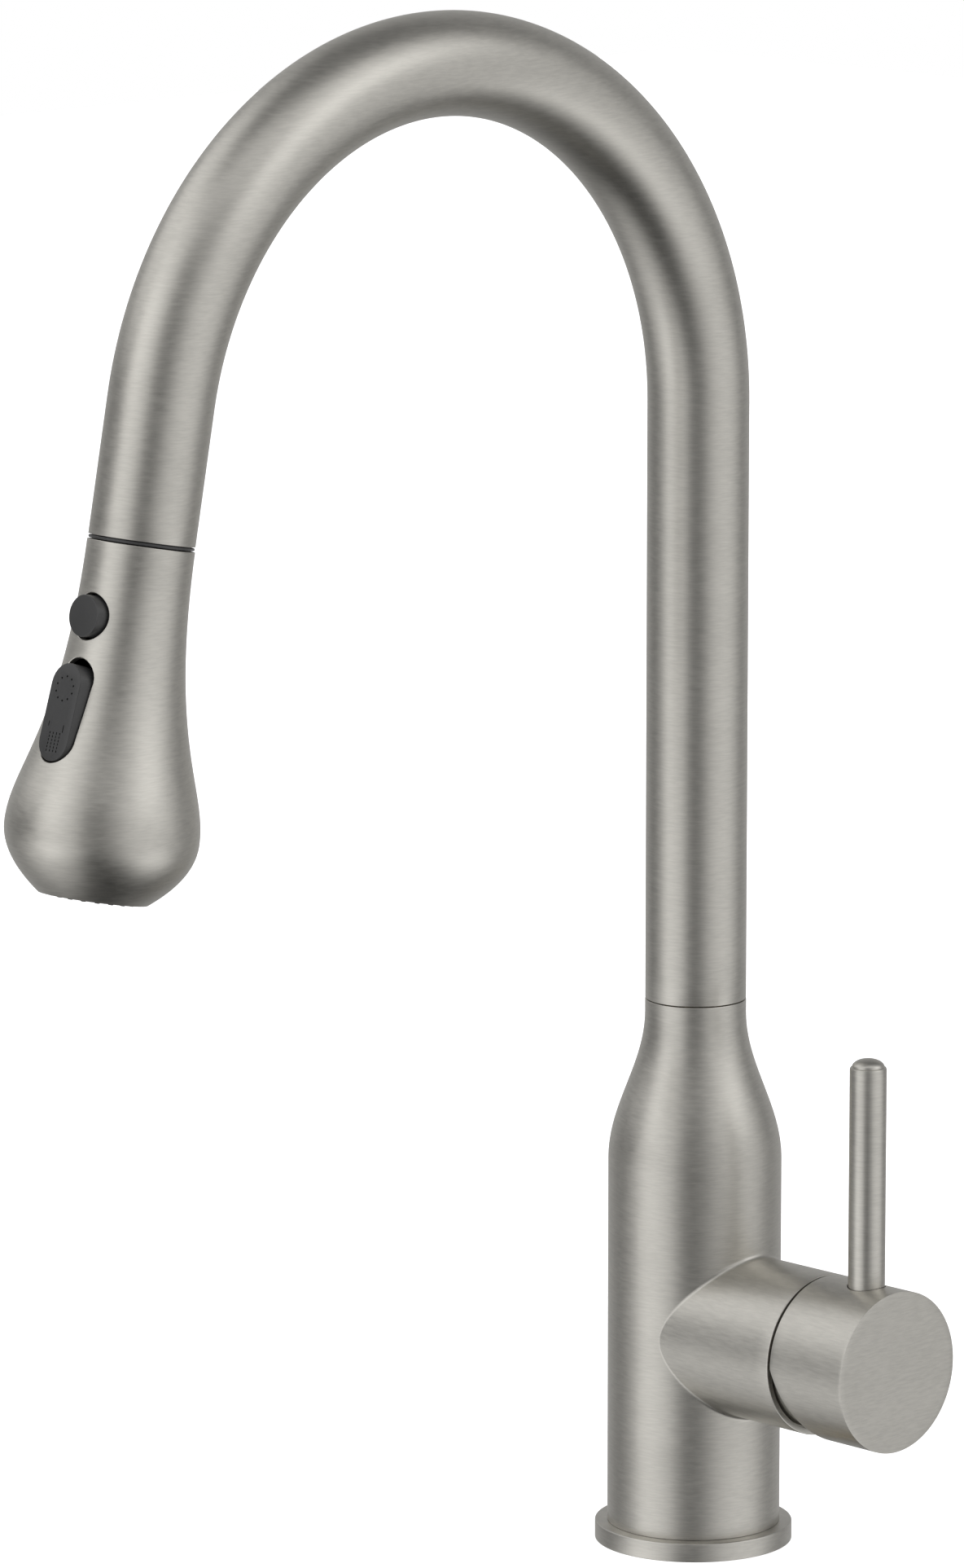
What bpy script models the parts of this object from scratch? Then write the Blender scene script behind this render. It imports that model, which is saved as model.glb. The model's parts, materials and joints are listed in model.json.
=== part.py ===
"""Pull down kitchen faucet: every separate piece, at its real size and in its resting place.

+Z is up and the origin is on the body's axis where the base flange meets the deck. The spout reaches
towards -Y and the handle's horn points along +X. Sizes are in millimetres and MM turns them into metres.
"""

import math

import bmesh
import bpy
from mathutils import Matrix, Vector

MM = 0.001
GAP = 0.3

# Body, flange and the horn that carries the handle
BODY_RADIUS = 25.0
BODY_FOOT = 5.8
NECK_RADIUS = 14.55
NECK_TOP = 160.0
NECK_SHOULDER = 156.3
NECK_FOOT = 112.9
FLANGE_RADIUS = 28.6
FLANGE_THICKNESS = 5.5
HORN_HEIGHT = 64.0
HORN_RADIUS = 23.3
HORN_END = 52.3

# Handle: a hollow cap and a round pin lever, tilting about TILT_PIVOT on the horn's axis
CAP_START = 53.0
CAP_END = 80.8
CAP_WALL = 1.4
CAP_NOTCH_DEGREES = 22.0
TILT_PIVOT = 48.0
LEVER_PLACE = 68.7
SCREW_PLACE = 70.0
LEVER_RADIUS = 5.25
LEVER_TOP = 153.0

# Gooseneck spout
TUBE_RADIUS = 14.5
TUBE_WALL = 1.0
TUBE_FOOT = 160.5
ARCH_HEIGHT = 333.5
ARCH_RADIUS = 103.0
ARCH_SWEEP_DEGREES = 169.0
TUBE_END_LENGTH = 37.5

# Spray head: distances down the dock's axis from the end of the tube
HEAD_TOP = 1.3
HEAD_TOP_RADIUS = 14.6
BULB_PLACE = 79.0
BULB_RADIUS = 26.4
FACE_PLACE = 97.0
FACE_RADIUS = 14.9
SHELL_WALL = 1.8
BUTTON_PLACE = 21.7
BUTTON_RADIUS = 5.7
BUTTON_FACE = 17.3

# Rocker: ends, opening and face are measured from its pin, along the face and square to it
ROCKER_PIN_PLACE = 47.3
ROCKER_PIN_DEPTH = 12.5
ROCKER_FACE_TILT = 6.4
ROCKER_FACE = 8.35
ROCKER_HALF_WIDTH = 5.7
ROCKER_ENDS = (-14.9, 11.85)
ROCKER_OPENING = (-15.3, 13.85)

# Water and mounting parts
HOSE_RADIUS = 6.0
HOSE_OFFSET = -6.5
SUPPLY_PLACE = (4.5, 8.2)
OUTLET_PLACE = 10.2
SHANK_RADIUS = 16.5
SHANK_BORE = 14.7
CARTRIDGE_RADIUS = 17.4
PORT_DROP = -6.0
OUTLET_PORT_RISE = 9.0

FINE = 32
COARSE = 20
SMALL = 12

DOCK_POINT = Vector(
    (
        0.0,
        -ARCH_RADIUS
        + ARCH_RADIUS * math.cos(math.radians(ARCH_SWEEP_DEGREES))
        - TUBE_END_LENGTH * math.sin(math.radians(ARCH_SWEEP_DEGREES)),
        ARCH_HEIGHT
        + ARCH_RADIUS * math.sin(math.radians(ARCH_SWEEP_DEGREES))
        + TUBE_END_LENGTH * math.cos(math.radians(ARCH_SWEEP_DEGREES)),
    )
)
DOCK_TILT = math.radians(180.0 - ARCH_SWEEP_DEGREES)


# ---------------------------------------------------------------- scene and materials


def clear_scene():
    for old in list(bpy.data.objects):
        bpy.data.objects.remove(old, do_unlink=True)


def new_collection(name):
    collection = bpy.data.collections.new(name)
    bpy.context.scene.collection.children.link(collection)
    return collection


def make_material(name, colour, roughness, metallic=0.0):
    material = bpy.data.materials.new(name)
    material.use_nodes = True
    shader = material.node_tree.nodes["Principled BSDF"]
    shader.inputs["Base Color"].default_value = (*colour, 1.0)
    shader.inputs["Roughness"].default_value = roughness
    shader.inputs["Metallic"].default_value = metallic
    material.diffuse_color = (*colour, 1.0)
    return material


clear_scene()
PARTS = new_collection("pull_down_kitchen_faucet")
CUTTERS = new_collection("cutters")
NICKEL = make_material("brushed_nickel", (0.56, 0.54, 0.50), 0.32, 1.0)
BRASS = make_material("cast_brass", (0.60, 0.45, 0.20), 0.40, 1.0)
STEEL = make_material("stainless_steel", (0.55, 0.55, 0.55), 0.35, 1.0)
DARK_PLASTIC = make_material("dark_grey_plastic", (0.07, 0.07, 0.07), 0.50)
WHITE_PLASTIC = make_material("white_acetal", (0.80, 0.79, 0.75), 0.45)
RUBBER = make_material("black_rubber", (0.03, 0.03, 0.03), 0.80)
SEAL_RUBBER = make_material("red_seal_rubber", (0.35, 0.06, 0.04), 0.70)
CERAMIC = make_material("white_ceramic", (0.85, 0.84, 0.80), 0.20)
MAGNET = make_material("magnet", (0.20, 0.20, 0.21), 0.45, 0.8)
BRAID = make_material("grey_braided_nylon", (0.33, 0.33, 0.34), 0.60)


# ---------------------------------------------------------------- shapes


def matrix_of(location=(0, 0, 0), turn=None):
    place = Matrix.Translation(Vector(location) * MM)
    return place @ turn if turn else place


def empty(name, location, turn=None, parent=None):
    """An axis that pieces are parented to. The location is in the parent's frame."""
    axis = bpy.data.objects.new(name, None)
    axis.empty_display_size = 0.01
    PARTS.objects.link(axis)
    axis.parent = parent
    axis.matrix_local = matrix_of(location, turn)
    return axis


def add_object(name, data, material, parent=None, location=(0, 0, 0), turn=None):
    """Without a material the object is a cutter, which isn't rendered."""
    made = bpy.data.objects.new(name, data)
    if material:
        data.materials.append(material)
        PARTS.objects.link(made)
    else:
        CUTTERS.objects.link(made)
        made.hide_render = True
        made.display_type = "WIRE"
    made.parent = parent
    made.matrix_local = matrix_of(location, turn)
    return made


def shade(mesh):
    mesh.shade_smooth()
    mesh.set_sharp_from_angle(angle=math.radians(35))


def turned(name, outline, material=None, steps=COARSE, **place):
    """A turned piece from (radius, height) points that run down the outer side, top to bottom.

    An outline that starts and ends on the axis is left open there, and any other is closed.
    """
    solid_core = outline[0][0] == 0 and outline[-1][0] == 0
    count = len(outline)
    last = count - 1 if solid_core else count
    mesh = bpy.data.meshes.new(name)
    mesh.from_pydata(
        [(radius * MM, 0.0, height * MM) for radius, height in outline],
        [(i, (i + 1) % count) for i in range(last)],
        [],
    )
    made = add_object(name, mesh, material, **place)
    screw = made.modifiers.new("turn", "SCREW")
    screw.steps = steps
    screw.render_steps = steps
    screw.use_merge_vertices = True
    screw.merge_threshold = 0.00001
    screw.use_smooth_shade = True
    return made


def tube_outline(outer, inner, top, bottom, edge=0.0):
    """A ring's section, with its outer edges bevelled by `edge`."""
    if not edge:
        return [(outer, top), (outer, bottom), (inner, bottom), (inner, top)]
    return [
        (outer - edge, top),
        (outer, top - edge),
        (outer, bottom + edge),
        (outer - edge, bottom),
        (inner, bottom),
        (inner, top),
    ]


def rods(name, runs, radius, material=None, steps=SMALL, **place):
    """Plain round bars in one mesh, each between two points of the parent's frame."""
    shape = bmesh.new()
    for start, end in runs:
        run = Vector(end) - Vector(start)
        turn = run.to_track_quat("Z", "Y").to_matrix().to_4x4()
        bmesh.ops.create_cone(
            shape,
            cap_ends=True,
            segments=steps,
            radius1=radius * MM,
            radius2=radius * MM,
            depth=run.length * MM,
            matrix=Matrix.Translation((Vector(start) + run / 2) * MM) @ turn,
        )
    mesh = bpy.data.meshes.new(name)
    shape.to_mesh(mesh)
    shape.free()
    shade(mesh)
    return add_object(name, mesh, material, **place)


def rod(name, start, end, radius, material=None, **options):
    return rods(name, [(start, end)], radius, material, **options)


def ring_of(radius, count):
    """Points spaced evenly round a circle."""
    angles = [2 * math.pi * i / count for i in range(count)]
    return [(radius * math.cos(a), radius * math.sin(a)) for a in angles]


def block(name, low, high, material=None, **place):
    """A box between two corners of the parent's frame."""
    low = Vector(low)
    high = Vector(high)
    shape = bmesh.new()
    bmesh.ops.create_cube(shape, size=1.0)
    bmesh.ops.scale(shape, vec=(high - low) * MM, verts=shape.verts)
    mesh = bpy.data.meshes.new(name)
    shape.to_mesh(mesh)
    shape.free()
    return add_object(name, mesh, material, location=(low + high) / 2, **place)


def boolean(target, tool, operation="DIFFERENCE"):
    step = target.modifiers.new(tool.name, "BOOLEAN")
    step.operation = operation
    step.object = tool
    return target


def joined(target, *tools):
    for tool in tools:
        boolean(target, tool, "UNION")
    return target


def drilled(target, *tools):
    for tool in tools:
        boolean(target, tool)
    return target


def bezier(start, leave, arrive, end, count):
    """Points of a cubic Bezier curve, in as many dimensions as its knots have."""
    parts = list(zip(start, leave, arrive, end))
    points = []
    for i in range(count + 1):
        t = i / count
        weights = ((1 - t) ** 3, 3 * (1 - t) ** 2 * t, 3 * (1 - t) * t * t, t**3)
        points.append(tuple(sum(w * value for w, value in zip(weights, part)) for part in parts))
    return points


def as_mesh(drawn):
    """The curve object's solid as a mesh object with its caps welded, in the curve's place."""
    graph = bpy.context.evaluated_depsgraph_get()
    graph.update()
    mesh = bpy.data.meshes.new_from_object(drawn.evaluated_get(graph))
    shape = bmesh.new()
    shape.from_mesh(mesh)
    bmesh.ops.remove_doubles(shape, verts=shape.verts, dist=0.000001)
    bmesh.ops.recalc_face_normals(shape, faces=shape.faces)
    shape.to_mesh(mesh)
    shape.free()
    shade(mesh)
    name, curve = drawn.name, drawn.data
    made = bpy.data.objects.new(name + "_mesh", mesh)
    drawn.users_collection[0].objects.link(made)
    made.hide_render = drawn.hide_render
    made.display_type = drawn.display_type
    made.parent = drawn.parent
    made.matrix_local = drawn.matrix_local.copy()
    bpy.data.objects.remove(drawn)
    bpy.data.curves.remove(curve)
    made.name = name
    return made


def spline_object(name, points, material, closed=False, flat=False, **place):
    curve = bpy.data.curves.new(name, "CURVE")
    curve.dimensions = "2D" if flat else "3D"
    spline = curve.splines.new("POLY")
    spline.points.add(len(points) - 1)
    for knot, point in zip(spline.points, points):
        knot.co = (*(value * MM for value in point), *([0.0] * (3 - len(point))), 1.0)
    spline.use_cyclic_u = closed
    spline.use_smooth = True
    return add_object(name, curve, material, **place)


def pipe(name, points, radius, material, resolution=2, capped=True, **place):
    """A round tube or wire along points of the parent's frame."""
    made = spline_object(name, points, material, **place)
    made.data.bevel_depth = radius * MM
    made.data.bevel_resolution = resolution
    made.data.use_fill_caps = capped
    return made


def stadium(name, half_width, ends, levels, material=None, location=(0, 0, 0), **place):
    """An oblong with round ends. `ends` are its lowest and highest Y, `levels` its lowest and highest Z."""
    arc = [math.pi * i / 12 for i in range(13)]
    top = [(half_width * math.cos(a), ends[1] - half_width + half_width * math.sin(a)) for a in arc]
    bottom = [(-half_width * math.cos(a), ends[0] + half_width - half_width * math.sin(a)) for a in arc]
    middle = Vector(location) + Vector((0, 0, sum(levels) / 2))
    made = spline_object(name, top + bottom, material, closed=True, flat=True, location=middle, **place)
    made.data.fill_mode = "BOTH"
    made.data.extrude = (levels[1] - levels[0]) / 2 * MM
    return as_mesh(made)


# ---------------------------------------------------------------- axes

SPOUT_AXIS = empty("spout_swivel_axis", (0, 0, 0))
HORN_AXIS = empty("temperature_axis", (0, 0, HORN_HEIGHT), Matrix.Rotation(math.pi / 2, 4, "Y"))
TILT_AXIS = empty("flow_tilt_axis", (0, 0, TILT_PIVOT), parent=HORN_AXIS)
DOCK_AXIS = empty("dock_axis", DOCK_POINT, Matrix.Rotation(-DOCK_TILT, 4, "X"), parent=SPOUT_AXIS)
BUTTON_AXIS = empty(
    "button_axis", (0, 0, -BUTTON_PLACE), Matrix.Rotation(math.pi / 2, 4, "X"), parent=DOCK_AXIS
)
ROCKER_AXIS = empty(
    "rocker_axis",
    (0, -ROCKER_PIN_DEPTH, -ROCKER_PIN_PLACE),
    Matrix.Rotation(math.radians(90 - ROCKER_FACE_TILT), 4, "X"),
    parent=DOCK_AXIS,
)

LEG_AXIS = empty("rocker_leg_axis", (0, -ROCKER_PIN_DEPTH, -ROCKER_PIN_PLACE), parent=DOCK_AXIS)


def down_dock(outline):
    """Heights in the dock's frame from distances down its axis."""
    return [(radius, -place) for radius, place in outline]


# ---------------------------------------------------------------- base and mounting


def make_base():
    groove_inner, groove_outer, groove_depth = 18.5, 23.5, 2.5
    edge = 0.6
    bore = SHANK_RADIUS + 2 * GAP
    turned(
        "base_flange",
        [
            (FLANGE_RADIUS - edge, FLANGE_THICKNESS),
            (FLANGE_RADIUS, FLANGE_THICKNESS - edge),
            (FLANGE_RADIUS, 0),
            (groove_outer, 0),
            (groove_outer, groove_depth),
            (groove_inner, groove_depth),
            (groove_inner, 0),
            (bore, 0),
            (bore, FLANGE_THICKNESS),
        ],
        NICKEL,
        steps=FINE,
    )
    gasket = tube_outline(groove_outer - GAP, groove_inner + GAP, groove_depth - GAP, 0.1)
    turned("base_gasket", gasket, RUBBER)


def make_clamp():
    """The shank through the deck, and what is tightened against the deck's underside."""
    shank_top, shank_foot = 15.4, -58.0
    washer_bore = SHANK_RADIUS + 0.4
    turned("threaded_shank", tube_outline(SHANK_RADIUS, SHANK_BORE, shank_top, shank_foot, 0.6), BRASS)
    turned("rubber_washer", tube_outline(26.0, washer_bore, -30.0, -33.0), RUBBER)
    turned("steel_washer", tube_outline(27.0, washer_bore, -33.3, -34.8), STEEL)
    nut_foot, nut_top, nut_radius = -45.1, -35.1, 24.5
    nut = rod("mounting_nut", (0, 0, nut_foot), (0, 0, nut_top), nut_radius, BRASS, steps=6)
    drilled(nut, rod("nut_bore", (0, 0, nut_foot - 1), (0, 0, nut_top + 1), washer_bore, steps=COARSE))


def make_water_tubes():
    """The two supply tubes and the mixed outlet, each with its end fitting below the deck."""
    bore = 2.8
    along, across = SUPPLY_PLACE
    for name, side in (("hot_supply_stub", 1), ("cold_supply_stub", -1)):
        radius, fitting_radius, top, fitting_top, foot = 4.0, 6.0, 54.0, -80.0, -95.0
        outline = [
            (radius, top),
            (radius, fitting_top),
            (fitting_radius, fitting_top - 1),
            (fitting_radius, foot),
            (bore, foot),
            (bore, top),
        ]
        turned(name, outline, BRASS, steps=SMALL, location=(along, side * across, 0))
    radius, fitting_radius, top, fitting_top, foot = 3.6, 5.0, 60.0, -62.0, -74.0
    outline = [
        (radius, top),
        (radius, fitting_top),
        (fitting_radius, fitting_top - 1),
        (fitting_radius, foot),
        (bore, foot),
        (bore, top),
    ]
    turned("outlet_stub", outline, BRASS, steps=SMALL, location=(OUTLET_PLACE, 0, 0))


# ---------------------------------------------------------------- body and valve


def make_body():
    """One casting: a column whose neck takes the spout, a horn for the valve, and the block between them."""
    neck = bezier(
        (NECK_RADIUS, NECK_SHOULDER), (NECK_RADIUS, 140.2), (BODY_RADIUS, 128.6), (BODY_RADIUS, NECK_FOOT), 8
    )
    body = turned(
        "faucet_body",
        [(0, NECK_TOP), (NECK_RADIUS, NECK_TOP), *neck, (BODY_RADIUS, BODY_FOOT), (0, BODY_FOOT)],
        NICKEL,
        steps=FINE,
    )
    joined(body, rod("horn", (0, 0, HORN_HEIGHT), (HORN_END, 0, HORN_HEIGHT), HORN_RADIUS, steps=FINE))
    drilled(body, *body_bores(), *valve_bores())


def body_bores():
    neck_bore, cavity, block_top, block_foot, foot_bore = 12.7, 22.0, 88.0, 42.0, SHANK_RADIUS + GAP
    ledge, ledge_radius, cavity_top, foot_top = 112.0, 16.0, 100.0, 16.0
    hose_channel = 7.8
    upper = [(0, ledge), (ledge_radius, ledge), (cavity, cavity_top), (cavity, block_top), (0, block_top)]
    return (
        rod("neck_bore", (0, 0, ledge - 2), (0, 0, NECK_TOP + 1), neck_bore, steps=FINE),
        turned("upper_cavity", upper, steps=COARSE),
        rod("hose_channel", (HOSE_OFFSET, 0, block_foot - 1), (HOSE_OFFSET, 0, block_top + 1), hose_channel),
        rod("lower_cavity", (0, 0, foot_top), (0, 0, block_foot), cavity, steps=COARSE),
        rod("foot_bore", (0, 0, BODY_FOOT - 1), (0, 0, foot_top + 1), foot_bore, steps=COARSE),
    )


def valve_bores():
    """The stepped bore along the horn and the drilled water ways that reach its flat seat."""
    seat, step, mouth = 16.0, 42.0, 50.3
    cartridge, nut, counterbore = 17.8, 19.9, 21.6
    port, tube, outlet_tube, block_foot = 3.2, 4.3, 3.9, 41.0
    along, across = SUPPLY_PLACE
    inlet_height = HORN_HEIGHT + PORT_DROP
    outlet_height = HORN_HEIGHT + OUTLET_PORT_RISE
    stepped = [
        (0, HORN_END + 1),
        (counterbore, HORN_END + 1),
        (counterbore, mouth),
        (nut, mouth),
        (nut, step),
        (cartridge, step),
        (cartridge, seat),
        (0, seat),
    ]
    cutters = [turned("cartridge_bore", stepped, steps=COARSE, parent=HORN_AXIS)]
    for name, side in (("hot", 1), ("cold", -1)):
        y = side * across
        cutters.append(rod(name + "_tube_bore", (along, y, block_foot), (along, y, inlet_height + 1), tube))
        cutters.append(rod(name + "_port", (along, y, inlet_height), (seat + 1, y, inlet_height), port))
    outlet = (OUTLET_PLACE, 0, outlet_height)
    foot, top = (OUTLET_PLACE, 0, block_foot), (OUTLET_PLACE, 0, outlet_height + 1)
    cutters.append(rod("outlet_tube_bore", foot, top, outlet_tube))
    cutters.append(rod("outlet_port", outlet, (seat + 1, 0, outlet_height), port))
    return cutters


def port_cutters(name, low, high, radius):
    """The three water ways through a piece of the cartridge, in the horn's frame."""
    across = SUPPLY_PLACE[1]
    places = ((-PORT_DROP, across), (-PORT_DROP, -across), (-OUTLET_PORT_RISE, 0))
    return [
        rod(f"{name}_way_{i}", (x, y, low - 1), (x, y, high + 1), radius, steps=12, parent=HORN_AXIS)
        for i, (x, y) in enumerate(places)
    ]


def make_cartridge():
    on_horn = {"parent": HORN_AXIS}
    outline = [(0, 18.3), (15.3, 18.3), (15.3, 16.3), (0, 16.3)]
    seal = turned("cartridge_seal", outline, SEAL_RUBBER, **on_horn)
    drilled(seal, *port_cutters("seal", 16.3, 18.3, 2.6))
    housing_outline = [
        (14.0, 46.0),
        (14.0, 41.7),
        (CARTRIDGE_RADIUS, 41.7),
        (CARTRIDGE_RADIUS, 18.6),
        (0, 18.6),
        (0, 24.0),
        (15.9, 24.0),
        (15.9, 38.3),
        (12.0, 38.3),
        (12.0, 46.0),
    ]
    housing = turned("cartridge_housing", housing_outline, WHITE_PLASTIC, **on_horn)
    drilled(housing, *port_cutters("housing", 18.6, 24.0, 2.6))
    outline = [(0, 29.0), (15.5, 29.0), (15.5, 24.3), (0, 24.3)]
    fixed = turned("fixed_ceramic_disc", outline, CERAMIC, **on_horn)
    drilled(fixed, *port_cutters("fixed", 24.3, 29.0, 2.4))
    turned("cartridge_nut", tube_outline(19.6, 14.4, 50.0, 42.0, 0.5), BRASS, **on_horn)
    make_bonnet()


def make_bonnet():
    """A dome about the tilt pivot, so that the cap swings over it with the same clearance all the way."""
    outer, inner, foot, rim = 21.3, 19.8, 2.3, 12.0

    def arc(radius, heights):
        return [(math.sqrt(radius**2 - height**2), TILT_PIVOT + height) for height in heights]

    count = 5
    heights = [rim + (foot - rim) * i / count for i in range(count + 1)]
    turned("bonnet", [*arc(outer, heights), *arc(inner, heights[::-1])], NICKEL, parent=HORN_AXIS)


# ---------------------------------------------------------------- handle


def make_moving_valve():
    """What turns with the handle inside the cartridge, and the disc that the stem slides."""
    disc_radius, disc_top, disc_foot = 10.0, 33.8, 29.3
    outline = [(0, disc_top), (disc_radius, disc_top), (disc_radius, disc_foot), (0, disc_foot)]
    disc = turned("moving_ceramic_disc", outline, CERAMIC, parent=HORN_AXIS)
    drilled(disc, rod("stem_socket", (0, 0, 31.0), (0, 0, 35.0), 3.7, parent=HORN_AXIS))
    carrier = turned(
        "stem_carrier",
        [(0, 51.0), (11.7, 51.0), (11.7, 38.0), (15.6, 38.0), (15.6, 34.5), (0, 34.5)],
        DARK_PLASTIC,
        parent=HORN_AXIS,
    )
    slot = block("carrier_slot", (-9.5, -4.3, 33.0), (6.8, 4.3, 53.0), parent=HORN_AXIS)
    ends = (0, -13, TILT_PIVOT), (0, 13, TILT_PIVOT)
    pin_hole = rod("carrier_pin_hole", *ends, 1.9, steps=16, parent=HORN_AXIS)
    drilled(carrier, slot, pin_hole)
    rod("stem_pin", (0, -11, 0), (0, 11, 0), 1.6, STEEL, steps=16, parent=TILT_AXIS)


def make_stem():
    """The lever stem: a square bar outside the pivot and a thin round tail that reaches into the disc."""
    half, tip, tail_radius, end = 3.8, 31.6 - TILT_PIVOT, 2.3, 74.0 - TILT_PIVOT
    stem = block("lever_stem", (-half, -half, -5.0), (half, half, end), STEEL, parent=TILT_AXIS)
    joined(stem, rod("stem_tail", (0, 0, tip), (0, 0, -3.0), tail_radius, parent=TILT_AXIS))
    drilled(stem, rod("stem_pin_hole", (0, -6, 0), (0, 6, 0), 1.9, steps=16, parent=TILT_AXIS))


def make_cap():
    """The cap is a cup with a hub for the stem. Its lower rear edge is cut back so that it can tilt."""
    inner = HORN_RADIUS - CAP_WALL
    start, end = CAP_START - TILT_PIVOT, CAP_END - TILT_PIVOT
    floor, hub_radius, hub_start, edge = end - 2.0, 8.5, 64.5 - TILT_PIVOT, 0.3
    outline = [
        (0, end),
        (HORN_RADIUS - edge, end),
        (HORN_RADIUS, end - edge),
        (HORN_RADIUS, start),
        (inner, start),
        (inner, floor),
        (hub_radius, floor),
        (hub_radius, hub_start),
        (0, hub_start),
    ]
    cap = turned("handle_cap", outline, NICKEL, steps=FINE, parent=TILT_AXIS)
    lever, screw = LEVER_PLACE - TILT_PIVOT, SCREW_PLACE - TILT_PIVOT
    half, stem_end = 4.1, 74.3 - TILT_PIVOT
    on_tilt = {"parent": TILT_AXIS}
    notch = block("cap_notch", (0, -30, -40), (40, 30, 0), **on_tilt)
    notch.matrix_local = (
        Matrix.Translation(Vector((0, 0, start)) * MM)
        @ Matrix.Rotation(math.radians(CAP_NOTCH_DEGREES), 4, "Y").inverted()
        @ Matrix.Translation(Vector((20, 0, -20)) * MM)
    )
    drilled(
        cap,
        block("stem_bore", (-half, -half, hub_start - 1), (half, half, stem_end), **on_tilt),
        side_hole("lever_hole", lever, -HORN_RADIUS - 2, -hub_radius, LEVER_RADIUS + GAP, COARSE),
        side_hole("lever_thread", lever, -hub_radius - 1, -5.0, 2.8),
        side_hole("screw_thread", screw, 3.0, hub_radius + 1, 2.6),
        side_hole("key_hole", screw, hub_radius + 4, HORN_RADIUS + 2, 2.6),
        notch,
    )
    screw_bar = rod("handle_set_screw", (4.4, 0, screw), (8.4, 0, screw), 2.3, STEEL, steps=16, **on_tilt)
    drilled(screw_bar, side_hole("hex_socket", screw, 6.4, 9.4, 1.25, 6))


def side_hole(name, place, start, end, radius, steps=16):
    """A hole square to the cap's axis at `place` along it, between two distances from that axis."""
    return rod(name, (start, 0, place), (end, 0, place), radius, steps=steps, parent=TILT_AXIS)


def make_lever():
    """A round pin with a shallow domed end, screwed into the cap's hub."""
    thread, foot, dome_edge, dome_height = 2.5, 9.3, 0.25, 2.4
    rise = LEVER_TOP - HORN_HEIGHT
    side_top = rise - dome_height
    dome = [
        ((LEVER_RADIUS - dome_edge) * math.sin(a), side_top + dome_height * math.cos(a))
        for a in (math.pi / 2 * i / 6 for i in range(7))
    ]
    side = [(LEVER_RADIUS, side_top - dome_edge), (LEVER_RADIUS, foot)]
    outline = [*dome, *side, (thread, foot), (thread, 5.4), (0, 5.4)]
    turned(
        "handle_lever",
        outline,
        NICKEL,
        parent=TILT_AXIS,
        location=(0, 0, LEVER_PLACE - TILT_PIVOT),
        turn=Matrix.Rotation(-math.pi / 2, 4, "Y"),
    )


# ---------------------------------------------------------------- spout


def arch_point(angle):
    """A point of the gooseneck's centre line, `angle` radians round the arch from its foot."""
    return (0.0, -ARCH_RADIUS + ARCH_RADIUS * math.cos(angle), ARCH_HEIGHT + ARCH_RADIUS * math.sin(angle))


def spout_line(foot, lift, arch_steps):
    """The centre line from `foot` up the stem and round the arch, to `lift` above the end of the tube."""
    sweep = math.radians(ARCH_SWEEP_DEGREES)
    down = Vector((0, -math.sin(sweep), math.cos(sweep)))
    arch = [arch_point(sweep * i / arch_steps) for i in range(arch_steps + 1)]
    return [(0, 0, foot), *arch, tuple(DOCK_POINT - down * lift)]


def make_spout():
    line = spout_line(TUBE_FOOT, 0, 20)
    tube = as_mesh(pipe("spout_tube", line, TUBE_RADIUS, NICKEL, 9, False, parent=SPOUT_AXIS))
    wall = tube.modifiers.new("wall", "SOLIDIFY")
    wall.thickness = TUBE_WALL * MM
    wall.offset = -1.0
    wall.use_even_offset = True
    collar, spigot, bore, groove = 13.2, 12.35, 10.0, 11.4
    turned(
        "spout_spigot",
        [
            (collar, 178),
            (collar, 160.8),
            (spigot, 160.8),
            (spigot, 154),
            (groove, 154),
            (groove, 150),
            (spigot, 150),
            (spigot, 122),
            (groove, 122),
            (groove, 118),
            (spigot, 118),
            (spigot, 111.6),
            (groove, 111.6),
            (groove, 109.6),
            (spigot, 109.6),
            (spigot, 106),
            (bore, 106),
            (bore, 178),
        ],
        BRASS,
    )
    glide, inner = 12.6, groove + GAP
    turned("upper_glide_ring", tube_outline(glide, inner, 153.7, 150.3), WHITE_PLASTIC, steps=FINE)
    turned("lower_glide_ring", tube_outline(glide, inner, 121.7, 118.3), WHITE_PLASTIC, steps=FINE)
    turned("spout_retaining_ring", tube_outline(14.6, inner, 111.3, 109.9), STEEL, steps=COARSE)


def make_dock():
    """The plastic sleeve in the end of the tube, whose lip shows as a black line, and its magnet."""
    on_dock = {"parent": DOCK_AXIS}
    sleeve, bore, lip, groove = 13.2, 11.1, 14.35, 12.0
    outline = [
        (sleeve, -26),
        (sleeve, -9),
        (groove, -9),
        (groove, -3),
        (sleeve, -3),
        (sleeve, GAP),
        (lip, GAP),
        (lip, 1.0),
        (bore, 1.0),
        (bore, -26),
    ]
    turned("dock_bushing", down_dock(outline), DARK_PLASTIC, steps=COARSE, **on_dock)
    turned("dock_magnet", down_dock(tube_outline(13.1, groove + GAP, -8.7, -3.3)), MAGNET, **on_dock)


# ---------------------------------------------------------------- pull-down hose


def make_hose():
    """The hose runs in three stretches: through the body, round the spout, and the part that pulls out."""
    split, foot = 150.0, -100.0
    bend = bezier((0, 0, split), (0, 0, 110), (HOSE_OFFSET, 0, 100), (HOSE_OFFSET, 0, 60), 10)
    pipe("hose_in_body", [*bend, (HOSE_OFFSET, 0, -20), (HOSE_OFFSET, 0, foot)], HOSE_RADIUS, BRAID)
    coupling = [(7.0, foot - GAP), (7.5, foot - 3), (7.5, foot - 18), (3.5, foot - 18), (3.5, foot - GAP)]
    turned("hose_coupling", coupling, BRASS, location=(HOSE_OFFSET, 0, 0))
    pipe("hose_in_spout", spout_line(split + GAP, 36.5, 18), HOSE_RADIUS, BRAID, parent=SPOUT_AXIS)
    rod("hose_stretch", (0, 0, 36.2), (0, 0, 29.6), HOSE_RADIUS, BRAID, steps=16, parent=DOCK_AXIS)


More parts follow.
